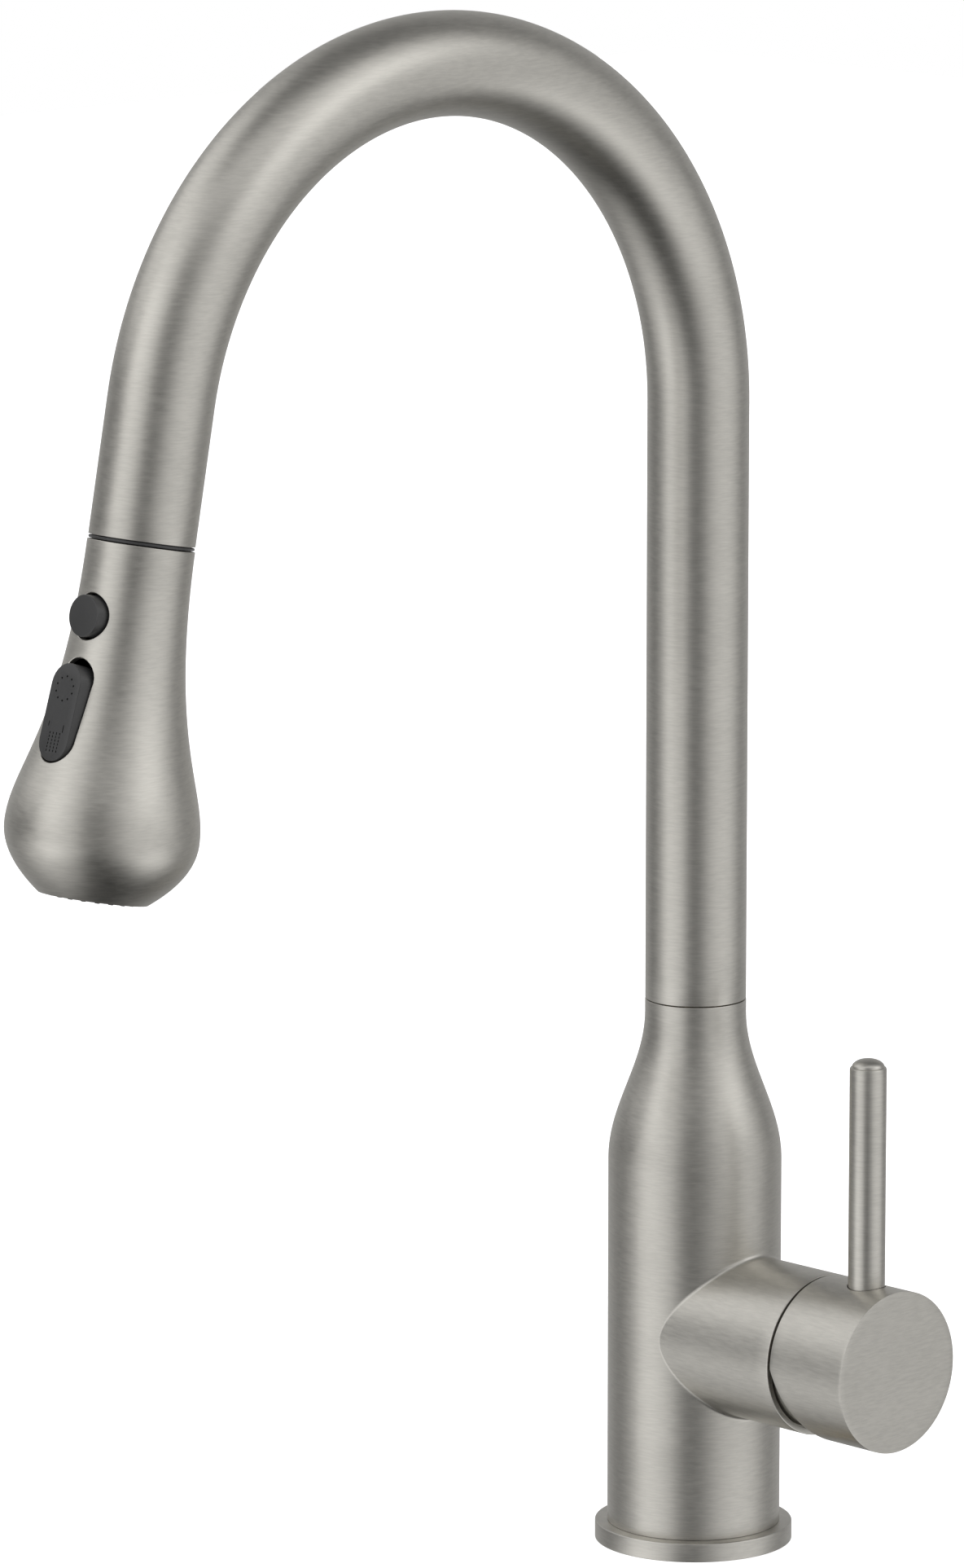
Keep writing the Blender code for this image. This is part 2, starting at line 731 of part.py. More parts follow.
def make_hose_end():
    """The crimped ferrule, the nut that turns on it and the washer that they squeeze."""
    on_dock = {"parent": DOCK_AXIS}
    ferrule = [(6.6, -29.3), (6.6, -24.0), (8.4, -24.0), (8.4, -21.4), (3.5, -21.4), (3.5, -29.3)]
    turned("hose_ferrule", down_dock(ferrule), STEEL, **on_dock)
    nut = [(9.4, -27.8), (10.6, -26.6), (10.6, -9.6), (8.7, -9.6), (8.7, -24.3), (6.9, -24.3), (6.9, -27.8)]
    turned("hose_nut", down_dock(nut), BRASS, **on_dock)
    turned("hose_washer", down_dock(tube_outline(8.3, 4.0, -21.1, -19.6)), RUBBER, **on_dock)


# ---------------------------------------------------------------- spray head


def head_outline(neck_steps, under_steps):
    """The shell's outside, from the dock to the edge of the spray face, as (radius, distance down)."""
    neck = bezier(
        (HEAD_TOP_RADIUS, HEAD_TOP),
        (HEAD_TOP_RADIUS, HEAD_TOP + 52.7),
        (BULB_RADIUS, BULB_PLACE - 15.4),
        (BULB_RADIUS, BULB_PLACE),
        neck_steps,
    )
    under = bezier(
        (BULB_RADIUS, BULB_PLACE),
        (BULB_RADIUS, BULB_PLACE + 8.9),
        (FACE_RADIUS + 3.4, FACE_PLACE - 2.7),
        (FACE_RADIUS, FACE_PLACE),
        under_steps,
    )
    return [*neck, *under[1:]]


def inset(outline, depth):
    """The outline moved inwards by `depth`, square to its own slope."""
    moved = []
    for i, (radius, place) in enumerate(outline):
        before, after = outline[max(i - 1, 0)], outline[min(i + 1, len(outline) - 1)]
        along = Vector((after[0] - before[0], after[1] - before[1])).normalized()
        moved.append((radius - along.y * depth, place + along.x * depth))
    return moved


def make_shell():
    outer = head_outline(11, 7)
    mouth = FACE_RADIUS - 0.2
    inner = inset(head_outline(7, 4), SHELL_WALL)
    inner = [point for point in inner if point[0] > mouth or point[1] < BULB_PLACE]
    inner[0] = (outer[0][0] - SHELL_WALL, HEAD_TOP)
    inner = [*inner, (mouth, FACE_PLACE - 2.0), (mouth, FACE_PLACE)]
    shell = turned("head_shell", down_dock([*outer, *inner[::-1]]), NICKEL, steps=FINE, parent=DOCK_AXIS)
    drilled(
        shell,
        rod("button_opening", (0, 0, 9), (0, 0, 25), BUTTON_RADIUS + 0.6, steps=COARSE, parent=BUTTON_AXIS),
        stadium("rocker_opening", ROCKER_HALF_WIDTH + 0.4, ROCKER_OPENING, (0.5, 16), parent=ROCKER_AXIS),
    )
    turned("head_strike_ring", down_dock(tube_outline(12.6, 11.2, 2.0, 5.0)), STEEL, parent=DOCK_AXIS)


def make_core():
    """The waterway inside the shell: the inlet for the hose, the valve section and the spreading cup."""
    bore = 3.6
    outline = [
        (8.4, -19.3),
        (8.4, -9.3),
        (10.8, -9.3),
        (10.8, 5.3),
        (12.5, 5.3),
        (12.5, 8.0),
        (7.4, 10.0),
        (7.4, 29.0),
        (8.5, 31.0),
        (8.5, 66.0),
        (14.0, 78.0),
        (14.0, 90.0),
        (12.6, 90.0),
        (12.6, 79.0),
        (bore, 68.0),
        (bore, -4.0),
        (4.6, -4.0),
        (4.6, -19.3),
    ]
    core = turned("head_core", down_dock(outline), DARK_PLASTIC, parent=DOCK_AXIS)
    for name, side in (("left_ear", -1), ("right_ear", 1)):
        near, far = sorted((side * 6.3, side * 8.0))
        foot, top = -ROCKER_PIN_PLACE - 3.0, -ROCKER_PIN_PLACE + 3.0
        ear = block(name, (near, -14.3, foot), (far, -2.0, top), parent=DOCK_AXIS)
        joined(core, ear)
    drilled(
        core,
        rod("ear_hole", (-9, 0, 0), (9, 0, 0), 1.5, steps=16, parent=ROCKER_AXIS),
        block("leg_window", (-2.2, -12, -53.0), (2.2, 0, -42.0), parent=DOCK_AXIS),
        rod("pause_port", (0, 0, 2.0), (0, 0, 9.0), 2.0, steps=16, parent=BUTTON_AXIS),
    )
    rod("rocker_pin", (-7.8, 0, 0), (7.8, 0, 0), 1.2, STEEL, steps=16, parent=ROCKER_AXIS)


def make_inlet():
    """The non-return valve and the screen in the head's inlet."""
    on_dock = {"parent": DOCK_AXIS}
    valve = [(4.3, -13.0), (4.3, -4.4), (2.2, -4.4), (2.2, -13.0)]
    turned("check_valve", down_dock(valve), WHITE_PLASTIC, steps=SMALL, **on_dock)
    screen = rod("inlet_screen", (0, 0, 15.0), (0, 0, 16.0), 4.3, STEEL, **on_dock)
    holes = [((x, y, 14), (x, y, 17)) for x, y in ring_of(2.5, 6)]
    drilled(screen, rods("screen_holes", holes, 0.8, steps=8, **on_dock))


def make_controls():
    """The pause button with its return spring, and the rocker that sets spray or stream."""
    turned(
        "pause_button",
        [
            (0, BUTTON_FACE),
            (BUTTON_RADIUS - 0.3, BUTTON_FACE),
            (BUTTON_RADIUS, BUTTON_FACE - 0.3),
            (BUTTON_RADIUS, 11.2),
            (6.7, 11.2),
            (6.7, 10.2),
            (4.6, 10.2),
            (4.6, 15.3),
            (1.5, 15.3),
            (1.5, 5.8),
            (0, 5.8),
        ],
        DARK_PLASTIC,
        parent=BUTTON_AXIS,
    )
    turns, per_turn, low, high, coil = 4.0, 10, 8.1, 14.6, 3.2
    count = int(turns * per_turn)
    helix = [
        (
            coil * math.cos(2 * math.pi * i / per_turn),
            coil * math.sin(2 * math.pi * i / per_turn),
            low + (high - low) * i / count,
        )
        for i in range(count + 1)
    ]
    pipe("button_spring", helix, 0.35, STEEL, 1, parent=BUTTON_AXIS)
    levels = (1.5, ROCKER_FACE)
    rocker = stadium(
        "mode_rocker", ROCKER_HALF_WIDTH, ROCKER_ENDS, levels, DARK_PLASTIC, parent=ROCKER_AXIS
    )
    joined(
        rocker,
        rod("pin_boss", (-5.4, 0, 0), (5.4, 0, 0), 3.0, parent=ROCKER_AXIS),
        block("drive_leg", (-1.5, -1.0, -0.8), (1.5, 10.2, 0.8), parent=LEG_AXIS),
    )
    drilled(rocker, rod("rocker_pin_hole", (-8, 0, 0), (8, 0, 0), 1.5, steps=16, parent=ROCKER_AXIS))
    spool = [
        (0, 40.0),
        (3.2, 40.0),
        (3.2, 46.0),
        (1.8, 46.0),
        (1.8, 48.6),
        (3.2, 48.6),
        (3.2, 62.0),
        (0, 62.0),
    ]
    turned("diverter_spool", down_dock(spool), WHITE_PLASTIC, steps=SMALL, parent=DOCK_AXIS)


def make_spray_face():
    """The face plate, the soft mat whose nozzles come through it, and the aerated stream's insert."""
    on_dock = {"parent": DOCK_AXIS}
    ring, count, hole, nozzle, opening = 12.0, 20, 1.1, 0.8, 6.5
    places = ring_of(ring, count)
    plate = [
        (FACE_RADIUS - 0.5, 94.0),
        (FACE_RADIUS - 0.5, 96.6),
        (14.0, FACE_PLACE),
        (opening, FACE_PLACE),
        (opening, 94.0),
    ]
    face = turned("spray_face", down_dock(plate), DARK_PLASTIC, steps=COARSE, **on_dock)
    holes = [((x, y, -93), (x, y, -98)) for x, y in places]
    drilled(face, rods("nozzle_holes", holes, hole, steps=10, **on_dock))
    mat = turned("nozzle_mat", down_dock(tube_outline(14.0, opening, 91.6, 93.7)), RUBBER, **on_dock)
    nozzles = [((x, y, -92.5), (x, y, -97.8)) for x, y in places]
    joined(mat, rods("nozzles", nozzles, nozzle, steps=8, **on_dock))
    insert = rod("aerator_insert", (0, 0, -96.2), (0, 0, -88.0), opening - GAP, WHITE_PLASTIC, **on_dock)
    streams = [((x, y, -97), (x, y, -87)) for x, y in ring_of(3.6, 8)]
    drilled(insert, rods("stream_holes", streams, 0.8, steps=8, **on_dock))


make_base()
make_clamp()
make_water_tubes()
make_body()
make_cartridge()
make_moving_valve()
make_stem()
make_cap()
make_lever()
make_spout()
make_dock()
make_hose()
make_hose_end()
make_shell()
make_core()
make_inlet()
make_controls()
make_spray_face()
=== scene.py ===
"""Pull down kitchen faucet: the finished look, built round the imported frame.

Laid out as a Blender add-on and run as a script. Each operator makes one piece or a group of like pieces in
metres, in the frame's own coordinates: +Z is up, the spout reaches towards -Y and the handle is on +X.
"""

import json
import math

import bmesh
import bpy
from mathutils import Matrix, Vector


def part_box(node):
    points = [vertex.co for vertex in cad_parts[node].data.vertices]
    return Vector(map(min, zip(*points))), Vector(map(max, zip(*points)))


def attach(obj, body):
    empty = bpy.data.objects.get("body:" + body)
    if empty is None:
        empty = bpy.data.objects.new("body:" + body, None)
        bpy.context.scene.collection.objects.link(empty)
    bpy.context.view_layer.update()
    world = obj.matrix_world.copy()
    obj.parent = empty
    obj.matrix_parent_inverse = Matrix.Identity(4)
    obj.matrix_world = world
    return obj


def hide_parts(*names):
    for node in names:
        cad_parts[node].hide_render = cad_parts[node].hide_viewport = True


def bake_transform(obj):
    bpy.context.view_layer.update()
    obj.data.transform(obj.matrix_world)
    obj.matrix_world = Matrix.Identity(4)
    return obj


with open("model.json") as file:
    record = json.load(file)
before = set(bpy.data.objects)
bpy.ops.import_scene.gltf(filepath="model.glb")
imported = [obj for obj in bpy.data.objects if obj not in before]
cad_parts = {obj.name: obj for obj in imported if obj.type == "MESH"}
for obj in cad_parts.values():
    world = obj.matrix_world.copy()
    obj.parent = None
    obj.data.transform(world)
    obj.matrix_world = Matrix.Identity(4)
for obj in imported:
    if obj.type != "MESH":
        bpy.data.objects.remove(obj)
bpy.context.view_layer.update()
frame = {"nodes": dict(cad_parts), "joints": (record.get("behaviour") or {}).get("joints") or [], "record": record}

bl_info = {
    "name": "Pull Down Kitchen Faucet",
    "version": (1, 0, 0),
    "blender": (4, 5, 0),
    "location": "3D View > Sidebar > Faucet",
    "description": "Builds a pull down kitchen faucet piece by piece, with brushed metal and plastic",
    "category": "Add Mesh",
}

MM = 0.001
JOINTS = {joint["name"]: joint for joint in frame["joints"]}


def low(node):
    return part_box(node)[0]


def high(node):
    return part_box(node)[1]


# Axes of the frame, in metres
TILT_PIVOT = Vector(JOINTS["flow_tilt"]["pos_m"])
DOCK_POINT = Vector(JOINTS["head_spin"]["pos_m"])
DOCK_DOWN = Vector(JOINTS["head_spin"]["axis"])
ROCKER_PIN = Vector(JOINTS["mode_rock"]["pos_m"])
DOCK_TILT = math.atan2(-DOCK_DOWN.y, -DOCK_DOWN.z)
HORN = Matrix.Translation((0, 0, TILT_PIVOT.z)) @ Matrix.Rotation(math.pi / 2, 4, "Y")
DOCK = Matrix.Translation(DOCK_POINT) @ Matrix.Rotation(-DOCK_TILT, 4, "X")
BUTTON_PLACE = 21.7 * MM
BUTTON = DOCK @ Matrix.Translation((0, 0, -BUTTON_PLACE)) @ Matrix.Rotation(math.pi / 2, 4, "X")
ROCKER_FACE_TILT = math.radians(6.4)
ROCKER = (
    Matrix.Translation(ROCKER_PIN)
    @ Matrix.Rotation(-DOCK_TILT, 4, "X")
    @ Matrix.Rotation(math.pi / 2 - ROCKER_FACE_TILT, 4, "X")
)
UPRIGHT = Matrix.Identity(4)
SHARP_ANGLE = math.radians(24)


# ---------------------------------------------------------------- sizes and colours


def size(name, description, default):
    return bpy.props.FloatProperty(
        name=name, description=description, default=default, unit="LENGTH", subtype="DISTANCE", precision=5
    )


def colour(name, description, default):
    return bpy.props.FloatVectorProperty(
        name=name, description=description, default=default, size=3, min=0.0, max=1.0, subtype="COLOR"
    )


def share(name, description, default):
    return bpy.props.FloatProperty(
        name=name, description=description, default=default, min=0.0, max=1.0, subtype="FACTOR"
    )


class FaucetSizes(bpy.types.PropertyGroup):
    body_radius: size("Body radius", "Radius of the column above the flange", high("faucet_body").y)
    flange_radius: size("Flange radius", "Radius of the flange on the deck", high("base_flange").x)
    flange_height: size("Flange height", "Thickness of the flange", high("base_flange").z)
    neck_top: size("Neck top", "Height where the spout's tube starts", high("faucet_body").z)
    horn_end: size("Horn end", "Distance from the column's axis to the horn's end", high("faucet_body").x)
    horn_radius: size("Horn radius", "Radius of the horn and of the handle's cap", high("handle_cap").y)
    horn_fillet: size("Horn fillet", "Radius of the weld where the horn leaves the column", 1.4 * MM)
    tube_radius: size("Tube radius", "Outer radius of the gooseneck's tube", high("spout_tube").x)
    arch_radius: size("Arch radius", "Bend radius of the gooseneck's centre line", 103 * MM)
    hose_radius: size("Hose radius", "Radius of the braided hose", 6 * MM)
    edge: size("Edge rounding", "Rounding left on the turned edges", 0.3 * MM)
    lever_radius: size("Lever radius", "Radius of the pin lever", high("handle_lever").y)


class FaucetFinish(bpy.types.PropertyGroup):
    nickel: colour("Nickel", "Colour of the brushed nickel", (0.60, 0.583, 0.54))
    nickel_roughness: share("Nickel roughness", "How much the brushing blurs reflections", 0.4)
    brass: colour("Brass", "Colour of the cast and turned brass", (0.58, 0.46, 0.25))
    steel: colour("Steel", "Colour of the stainless steel", (0.55, 0.55, 0.55))
    plastic: colour("Plastic", "Colour of the matt controls", (0.062, 0.062, 0.063))
    acetal: colour("Acetal", "Colour of the white bearing plastic", (0.80, 0.79, 0.75))
    rubber: colour("Rubber", "Colour of the gaskets and nozzles", (0.03, 0.03, 0.03))
    seal: colour("Seal", "Colour of the cartridge's seal", (0.35, 0.06, 0.04))
    ceramic: colour("Ceramic", "Colour of the valve's discs", (0.85, 0.84, 0.80))
    magnet: colour("Magnet", "Colour of the dock's magnet", (0.20, 0.20, 0.21))
    braid: colour("Braid", "Colour of the hose's braid", (0.33, 0.33, 0.34))
    deck: colour("Deck", "Colour of the surface that the faucet stands on", (0.90, 0.90, 0.90))


# ---------------------------------------------------------------- shaders


class Value:
    """A socket in a shader expression: arithmetic on it adds Math nodes."""

    def __init__(self, shader, socket):
        self.shader = shader
        self.socket = socket

    def math(self, operation, first, second):
        return self.shader.node("Math", {"operation": operation}, {0: first, 1: second})

    def __add__(self, other):
        return self.math("ADD", self, other)

    def __radd__(self, other):
        return self.math("ADD", other, self)

    def __sub__(self, other):
        return self.math("SUBTRACT", self, other)

    def __rsub__(self, other):
        return self.math("SUBTRACT", other, self)

    def __mul__(self, other):
        return self.math("MULTIPLY", self, other)

    def __rmul__(self, other):
        return self.math("MULTIPLY", other, self)

    def sibling(self, index):
        """Another output of the same node."""
        return Value(self.shader, self.socket.node.outputs[index])


class Shader:
    """A node tree being written."""

    def __init__(self, tree):
        self.tree = tree
        tree.nodes.clear()

    def node(self, kind, settings=None, sockets=None, output=0):
        """Adds one node: its settings first, then the values or links of its sockets."""
        made = self.tree.nodes.new("ShaderNode" + kind)
        for name, setting in (settings or {}).items():
            setattr(made, name, setting)
        for name, given in (sockets or {}).items():
            if isinstance(given, Value):
                self.tree.links.new(given.socket, made.inputs[name])
            else:
                made.inputs[name].default_value = given
        return Value(self, made.outputs[output]) if made.outputs else None

    def tinted(self, amount, dark, bright):
        """A colour between two, by a value from 0 to 1."""
        sockets = {0: amount, 6: (*dark, 1.0), 7: (*bright, 1.0)}
        return self.node("Mix", {"data_type": "RGBA"}, sockets, output=2)

    def noise(self, scale, detail=2.0, stretch=(1, 1, 1)):
        """Noise in the object's own coordinates, `scale` cells to the metre along each axis of `stretch`."""
        place = self.node("TexCoord", output="Object")
        steps = tuple(scale * part for part in stretch)
        grid = self.node("Mapping", None, {"Vector": place, "Scale": steps})
        return self.node("TexNoise", None, {"Vector": grid, "Scale": 1.0, "Detail": detail, "Roughness": 0.6})

    def bump(self, height, distance, strength=1.0):
        sockets = {"Height": height, "Distance": distance, "Strength": strength}
        return self.node("Bump", None, sockets)

    def principled(self, sockets):
        shader = self.node("BsdfPrincipled", None, sockets)
        self.node("OutputMaterial", None, {"Surface": shader})


def scaled(shade, factor):
    return tuple(min(1.0, part * factor) for part in shade)


def new_material(name):
    material = bpy.data.materials.new("faucet_" + name)
    material.use_nodes = True
    return material, Shader(material.node_tree)


def brushed_nickel(finish):
    """Satin nickel with level brush lines, some coarse and some fine, and slow drifts of tone."""
    material, shader = new_material("brushed_nickel")
    coarse_lines = shader.noise(1300, 2.0, (0.16, 0.16, 1))
    fine_lines = shader.noise(2600, 2.0, (0.1, 0.1, 1))
    drift = shader.noise(16, 2.0, (1, 1, 3))
    lines = coarse_lines * 0.5 + fine_lines * 0.5
    tone = shader.node("MapRange", None, {0: lines + (drift - 0.5) * 0.3, 1: 0.38, 2: 0.62, 3: 0.0, 4: 1.0})
    shader.principled(
        {
            "Base Color": shader.tinted(tone, scaled(finish.nickel, 0.94), scaled(finish.nickel, 1.07)),
            "Metallic": 1.0,
            "Roughness": lines * 0.16 + (finish.nickel_roughness - 0.08),
            "Normal": shader.bump(lines, 0.006 * MM, 0.5),
        }
    )
    return material


def turned_metal(name, shade, roughness, drift_size):
    """Machined metal with fine tool marks square to its axis and a faint change of tone."""
    material, shader = new_material(name)
    marks = shader.noise(2600, 2.0, (0.05, 0.05, 1))
    tone = shader.noise(drift_size, 3.0)
    shader.principled(
        {
            "Base Color": shader.tinted(tone, scaled(shade, 0.86), scaled(shade, 1.12)),
            "Metallic": 1.0,
            "Roughness": marks * 0.18 + tone * 0.12 + (roughness - 0.15),
            "Normal": shader.bump(marks, 0.03 * MM, 0.5),
        }
    )
    return material


def moulded(name, shade, roughness, grain_size, grain_depth):
    """Moulded plastic or rubber with an even matt grain and a slight unevenness of gloss."""
    material, shader = new_material(name)
    grain = shader.noise(grain_size, 3.0)
    gloss = shader.noise(grain_size / 30, 2.0)
    shader.principled(
        {
            "Base Color": shader.tinted(grain, scaled(shade, 0.88), scaled(shade, 1.12)),
            "Roughness": gloss * 0.16 + (roughness - 0.08),
            "Normal": shader.bump(grain, grain_depth),
        }
    )
    return material


def braided_nylon(finish):
    """Strands that cross over and under each other, by the angle round the hose and the distance along it."""
    material, shader = new_material("grey_braided_nylon")
    strands, pitch = 18, 440.0
    place = shader.node("UVMap", {"uv_map": "hose"})
    around = shader.node("SeparateXYZ", None, {0: place})
    along = around.sibling(1)
    turn = 2 * math.pi
    left = shader.node("Math", {"operation": "SINE"}, {0: (around * strands + along * pitch) * turn})
    right = shader.node("Math", {"operation": "SINE"}, {0: (around * strands - along * pitch) * turn})
    weave = left * right
    height = weave * 0.5 + 0.5
    fray = shader.noise(5200, 2.0)
    # The weave's low parts are painted darker: painted shade in the hollows between the strands.
    painted_hollow_shade = scaled(finish.braid, 0.35)
    shader.principled(
        {
            "Base Color": shader.tinted(height * 0.75 + fray * 0.25, painted_hollow_shade, finish.braid),
            "Roughness": 0.75 - height * 0.25,
            "Normal": shader.bump(height + fray * 0.15, 0.35 * MM),
        }
    )
    return material


def make_finishes(finish):
    """Every material of the faucet, by the name of the record's slot."""
    return {
        "brushed_nickel": brushed_nickel(finish),
        "cast_brass": turned_metal("cast_brass", finish.brass, 0.36, 260),
        "stainless_steel": turned_metal("stainless_steel", finish.steel, 0.30, 300),
        "magnet": turned_metal("magnet", finish.magnet, 0.45, 500),
        "dark_grey_plastic": moulded("dark_grey_plastic", finish.plastic, 0.36, 6500, 0.012 * MM),
        "white_acetal": moulded("white_acetal", finish.acetal, 0.42, 3000, 0.01 * MM),
        "black_rubber": moulded("black_rubber", finish.rubber, 0.62, 5200, 0.03 * MM),
        "red_seal_rubber": moulded("red_seal_rubber", finish.seal, 0.6, 5200, 0.03 * MM),
        "white_ceramic": moulded("white_ceramic", finish.ceramic, 0.2, 3000, 0.002 * MM),
        "grey_braided_nylon": braided_nylon(finish),
    }


def finish_of(slot):
    return bpy.data.materials["faucet_" + slot]


# ---------------------------------------------------------------- shapes


def bezier(start, leave, arrive, end, count):
    """Points of a cubic Bezier curve, in as many dimensions as its knots have."""
    points = []
    for i in range(count + 1):
        t = i / count
        weights = ((1 - t) ** 3, 3 * (1 - t) ** 2 * t, 3 * (1 - t) * t * t, t**3)
        knots = zip(*(start, leave, arrive, end))
        points.append(tuple(sum(w * part for w, part in zip(weights, knot)) for knot in knots))
    return points


def rounded(outline, steps=4, closed=True):
    """The outline with rounded corners: a corner's third number is how far off its rounding starts."""
    points = []
    count = len(outline)
    for i, corner in enumerate(outline):
        here = Vector(corner[:2])
        at_end = not closed and i in (0, count - 1)
        if len(corner) < 3 or at_end:
            points.append(tuple(here))
            continue
        before = Vector(outline[i - 1][:2])
        after = Vector(outline[(i + 1) % count][:2])
        start = here + (before - here).normalized() * corner[2]
        end = here + (after - here).normalized() * corner[2]
        for step in range(steps + 1):
            t = step / steps
            points.append(tuple(start * (1 - t) ** 2 + here * 2 * t * (1 - t) + end * t * t))
    return points


def millimetres(outline):
    return [tuple(part * MM for part in point) for point in outline]


class Build:
    """A mesh under construction, ring by ring."""

    def __init__(self):
        self.shape = bmesh.new()

    def ring(self, points):
        return [self.shape.verts.new(point) for point in points]

    def bridge(self, first, second, closed=True):
        """Faces between two rows of as many points."""
        count = len(first)
        for i in range(count if closed else count - 1):
            j = (i + 1) % count
            self.shape.faces.new((first[i], first[j], second[j], second[i]))

    def cap(self, ring):
        self.shape.faces.new(ring)

    def sweep(self, rings, closed=False, capped=True):
        """Bridges rings in order, and closes the run on itself or with a cap at each end."""
        rows = [self.ring(points) for points in rings]
        for first, second in zip(rows, rows[1:]):
            self.bridge(first, second)
        if closed:
            self.bridge(rows[-1], rows[0])
        elif capped:
            self.cap(rows[0])
            self.cap(rows[-1])
        return rows

    def mesh(self, name, place=UPRIGHT):
        shape = self.shape
        bmesh.ops.remove_doubles(shape, verts=shape.verts, dist=0.000001)
        bmesh.ops.recalc_face_normals(shape, faces=shape.faces)
        made = bpy.data.meshes.new(name)
        shape.to_mesh(made)
        shape.free()
        made.transform(place)
        return made


def circle(radius, height, steps, bend=None):
    """A ring about the local Z axis. `bend` may move each point."""
    points = []
    for i in range(steps):
        angle = 2 * math.pi * i / steps
        point = Vector((radius * math.cos(angle), radius * math.sin(angle), height))
        points.append(bend(point) if bend else point)
    return points


def lathe(name, outline, place=UPRIGHT, steps=96, bend=None):
    """A turned mesh from (radius, height) points. One that starts and ends on the axis is closed there."""
    build = Build()
    on_axis = outline[0][0] == 0 and outline[-1][0] == 0
    rings = [circle(max(radius, 1e-9), height, steps, bend) for radius, height in outline]
    build.sweep(rings, closed=not on_axis, capped=False)
    return build.mesh(name, place)


def rods(name, runs, radius, place=UPRIGHT, steps=32, tip=0.0):
    """Round bars in one mesh, each between two points, with their far ends rounded by `tip`."""
    build = Build()
    for start, end in runs:
        run = Vector(end) - Vector(start)
        turn = Matrix.Translation(start) @ run.to_track_quat("Z", "Y").to_matrix().to_4x4()
        levels = [(radius, 0.0), (radius, run.length - tip)]
        for i in range(1, 4 if tip else 1):
            a = math.pi / 6 * i
            levels.append((radius - tip + tip * math.cos(a), run.length - tip + tip * math.sin(a)))
        build.sweep([[turn @ point for point in circle(r, height, steps)] for r, height in levels])
    return build.mesh(name, place)


def boxes(name, spans, place=UPRIGHT):
    """Boxes in one mesh, each from its lowest to its highest corner."""
    build = Build()
    for low_corner, high_corner in spans:
        x0, y0, z0 = low_corner
        x1, y1, z1 = high_corner
        build.sweep([[(x0, y0, z), (x1, y0, z), (x1, y1, z), (x0, y1, z)] for z in (z0, z1)])
    return build.mesh(name, place)


def threaded(name, radius, bore, top, plain, foot, pitch, depth, steps=72):
    """A tube with a thread cut from its foot up to `plain`, smooth above that."""
    count = round((plain - foot) / pitch) * 8
    rings = []
    for j in range(count + 1):
        height = foot + (plain - foot) * j / count
        fade = min(1.0, (plain - height) / pitch)
        widest = radius - depth + height - foot
        ring = []
        for i in range(steps):
            phase = ((height - foot) / pitch - i / steps) % 1.0
            wide = min(widest, radius - depth * fade * (1 - abs(2 * phase - 1)))
            angle = 2 * math.pi * i / steps
            ring.append((wide * math.cos(angle), wide * math.sin(angle), height))
        rings.append(ring)
    rings += [circle(r, z, steps) for r, z in ((radius, top), (bore, top), (bore, foot))]
    build = Build()
    build.sweep(rings, closed=True)
    return build.mesh(name)


def hexagon_nut(name, across, bore, foot, top, steps=96):
    """A hexagon nut whose corners are chamfered on both faces."""
    half, slope, corner = across / 2, math.tan(math.radians(30)), 1.0 * MM
    face = half * 0.97
    turns = [2 * math.pi * i / steps for i in range(steps)]
    sides = [half / math.cos(a % (math.pi / 3) - math.pi / 6) for a in turns]

    def flats(edge, way):
        drops = [(r - face) * slope * way for r in sides]
        return [(r * math.cos(a), r * math.sin(a), edge + d) for r, a, d in zip(sides, turns, drops)]

    rings = [circle(bore, foot + corner, steps), circle(bore + corner, foot, steps)]
    rings.append(circle(face, foot, steps))
    rings += [flats(foot, 1), flats(top, -1)]
    rings += [circle(face, top, steps), circle(bore + corner, top, steps), circle(bore, top - corner, steps)]
    build = Build()
    build.sweep(rings, closed=True)
    return build.mesh(name)


def grooves(radius, depth, start, end, pitch):
    """(radius, height) points of V grooves down a turned side."""
    count = round(abs(end - start) / pitch)
    step = (end - start) / count
    points = []
    for i in range(count):
        points += [(radius, start + step * (i + 0.1)), (radius - depth, start + step * (i + 0.5))]
    return [*points, (radius, end - step * 0.1)]


def hose_mesh(name, line, along, radius, place=UPRIGHT, steps=40):
    """A hose through (point, direction) pairs, whose UV map holds turns round it and metres along it."""
    shape = bmesh.new()
    layer = shape.loops.layers.uv.new("hose")
    side = Vector((1, 0, 0))
    rows = []
    for point, direction in line:
        out = direction.cross(side).normalized()
        flat = side - direction * side.dot(direction)
        angles = [2 * math.pi * i / steps for i in range(steps)]
        spots = [point + (flat.normalized() * math.cos(a) + out * math.sin(a)) * radius for a in angles]
        rows.append([shape.verts.new(spot) for spot in spots])
    for first, second, v0, v1 in zip(rows, rows[1:], along, along[1:]):
        for i in range(steps):
            j = (i + 1) % steps
            face = shape.faces.new((first[i], first[j], second[j], second[i]))
            for loop, turn, distance in zip(face.loops, (i, i + 1, i + 1, i), (v0, v0, v1, v1)):
                loop[layer].uv = (turn / steps, distance)
    for row in (rows[0], rows[-1]):
        shape.faces.new(row)
    bmesh.ops.recalc_face_normals(shape, faces=shape.faces)
    made = bpy.data.meshes.new(name)
    shape.to_mesh(made)
    shape.free()
    made.transform(place)
    return made


def run_lengths(line):
    """The distance along a line of (point, direction) pairs, at each of its points."""
    lengths = [0.0]
    for (here, _), (there, _) in zip(line, line[1:]):
        lengths.append(lengths[-1] + (there - here).length)
    return lengths


def directed(points):
    """Each point with the direction of the line there."""
    line = []
    for i, point in enumerate(points):
        before, after = points[max(i - 1, 0)], points[min(i + 1, len(points) - 1)]
        line.append((point, (after - before).normalized()))
    return line


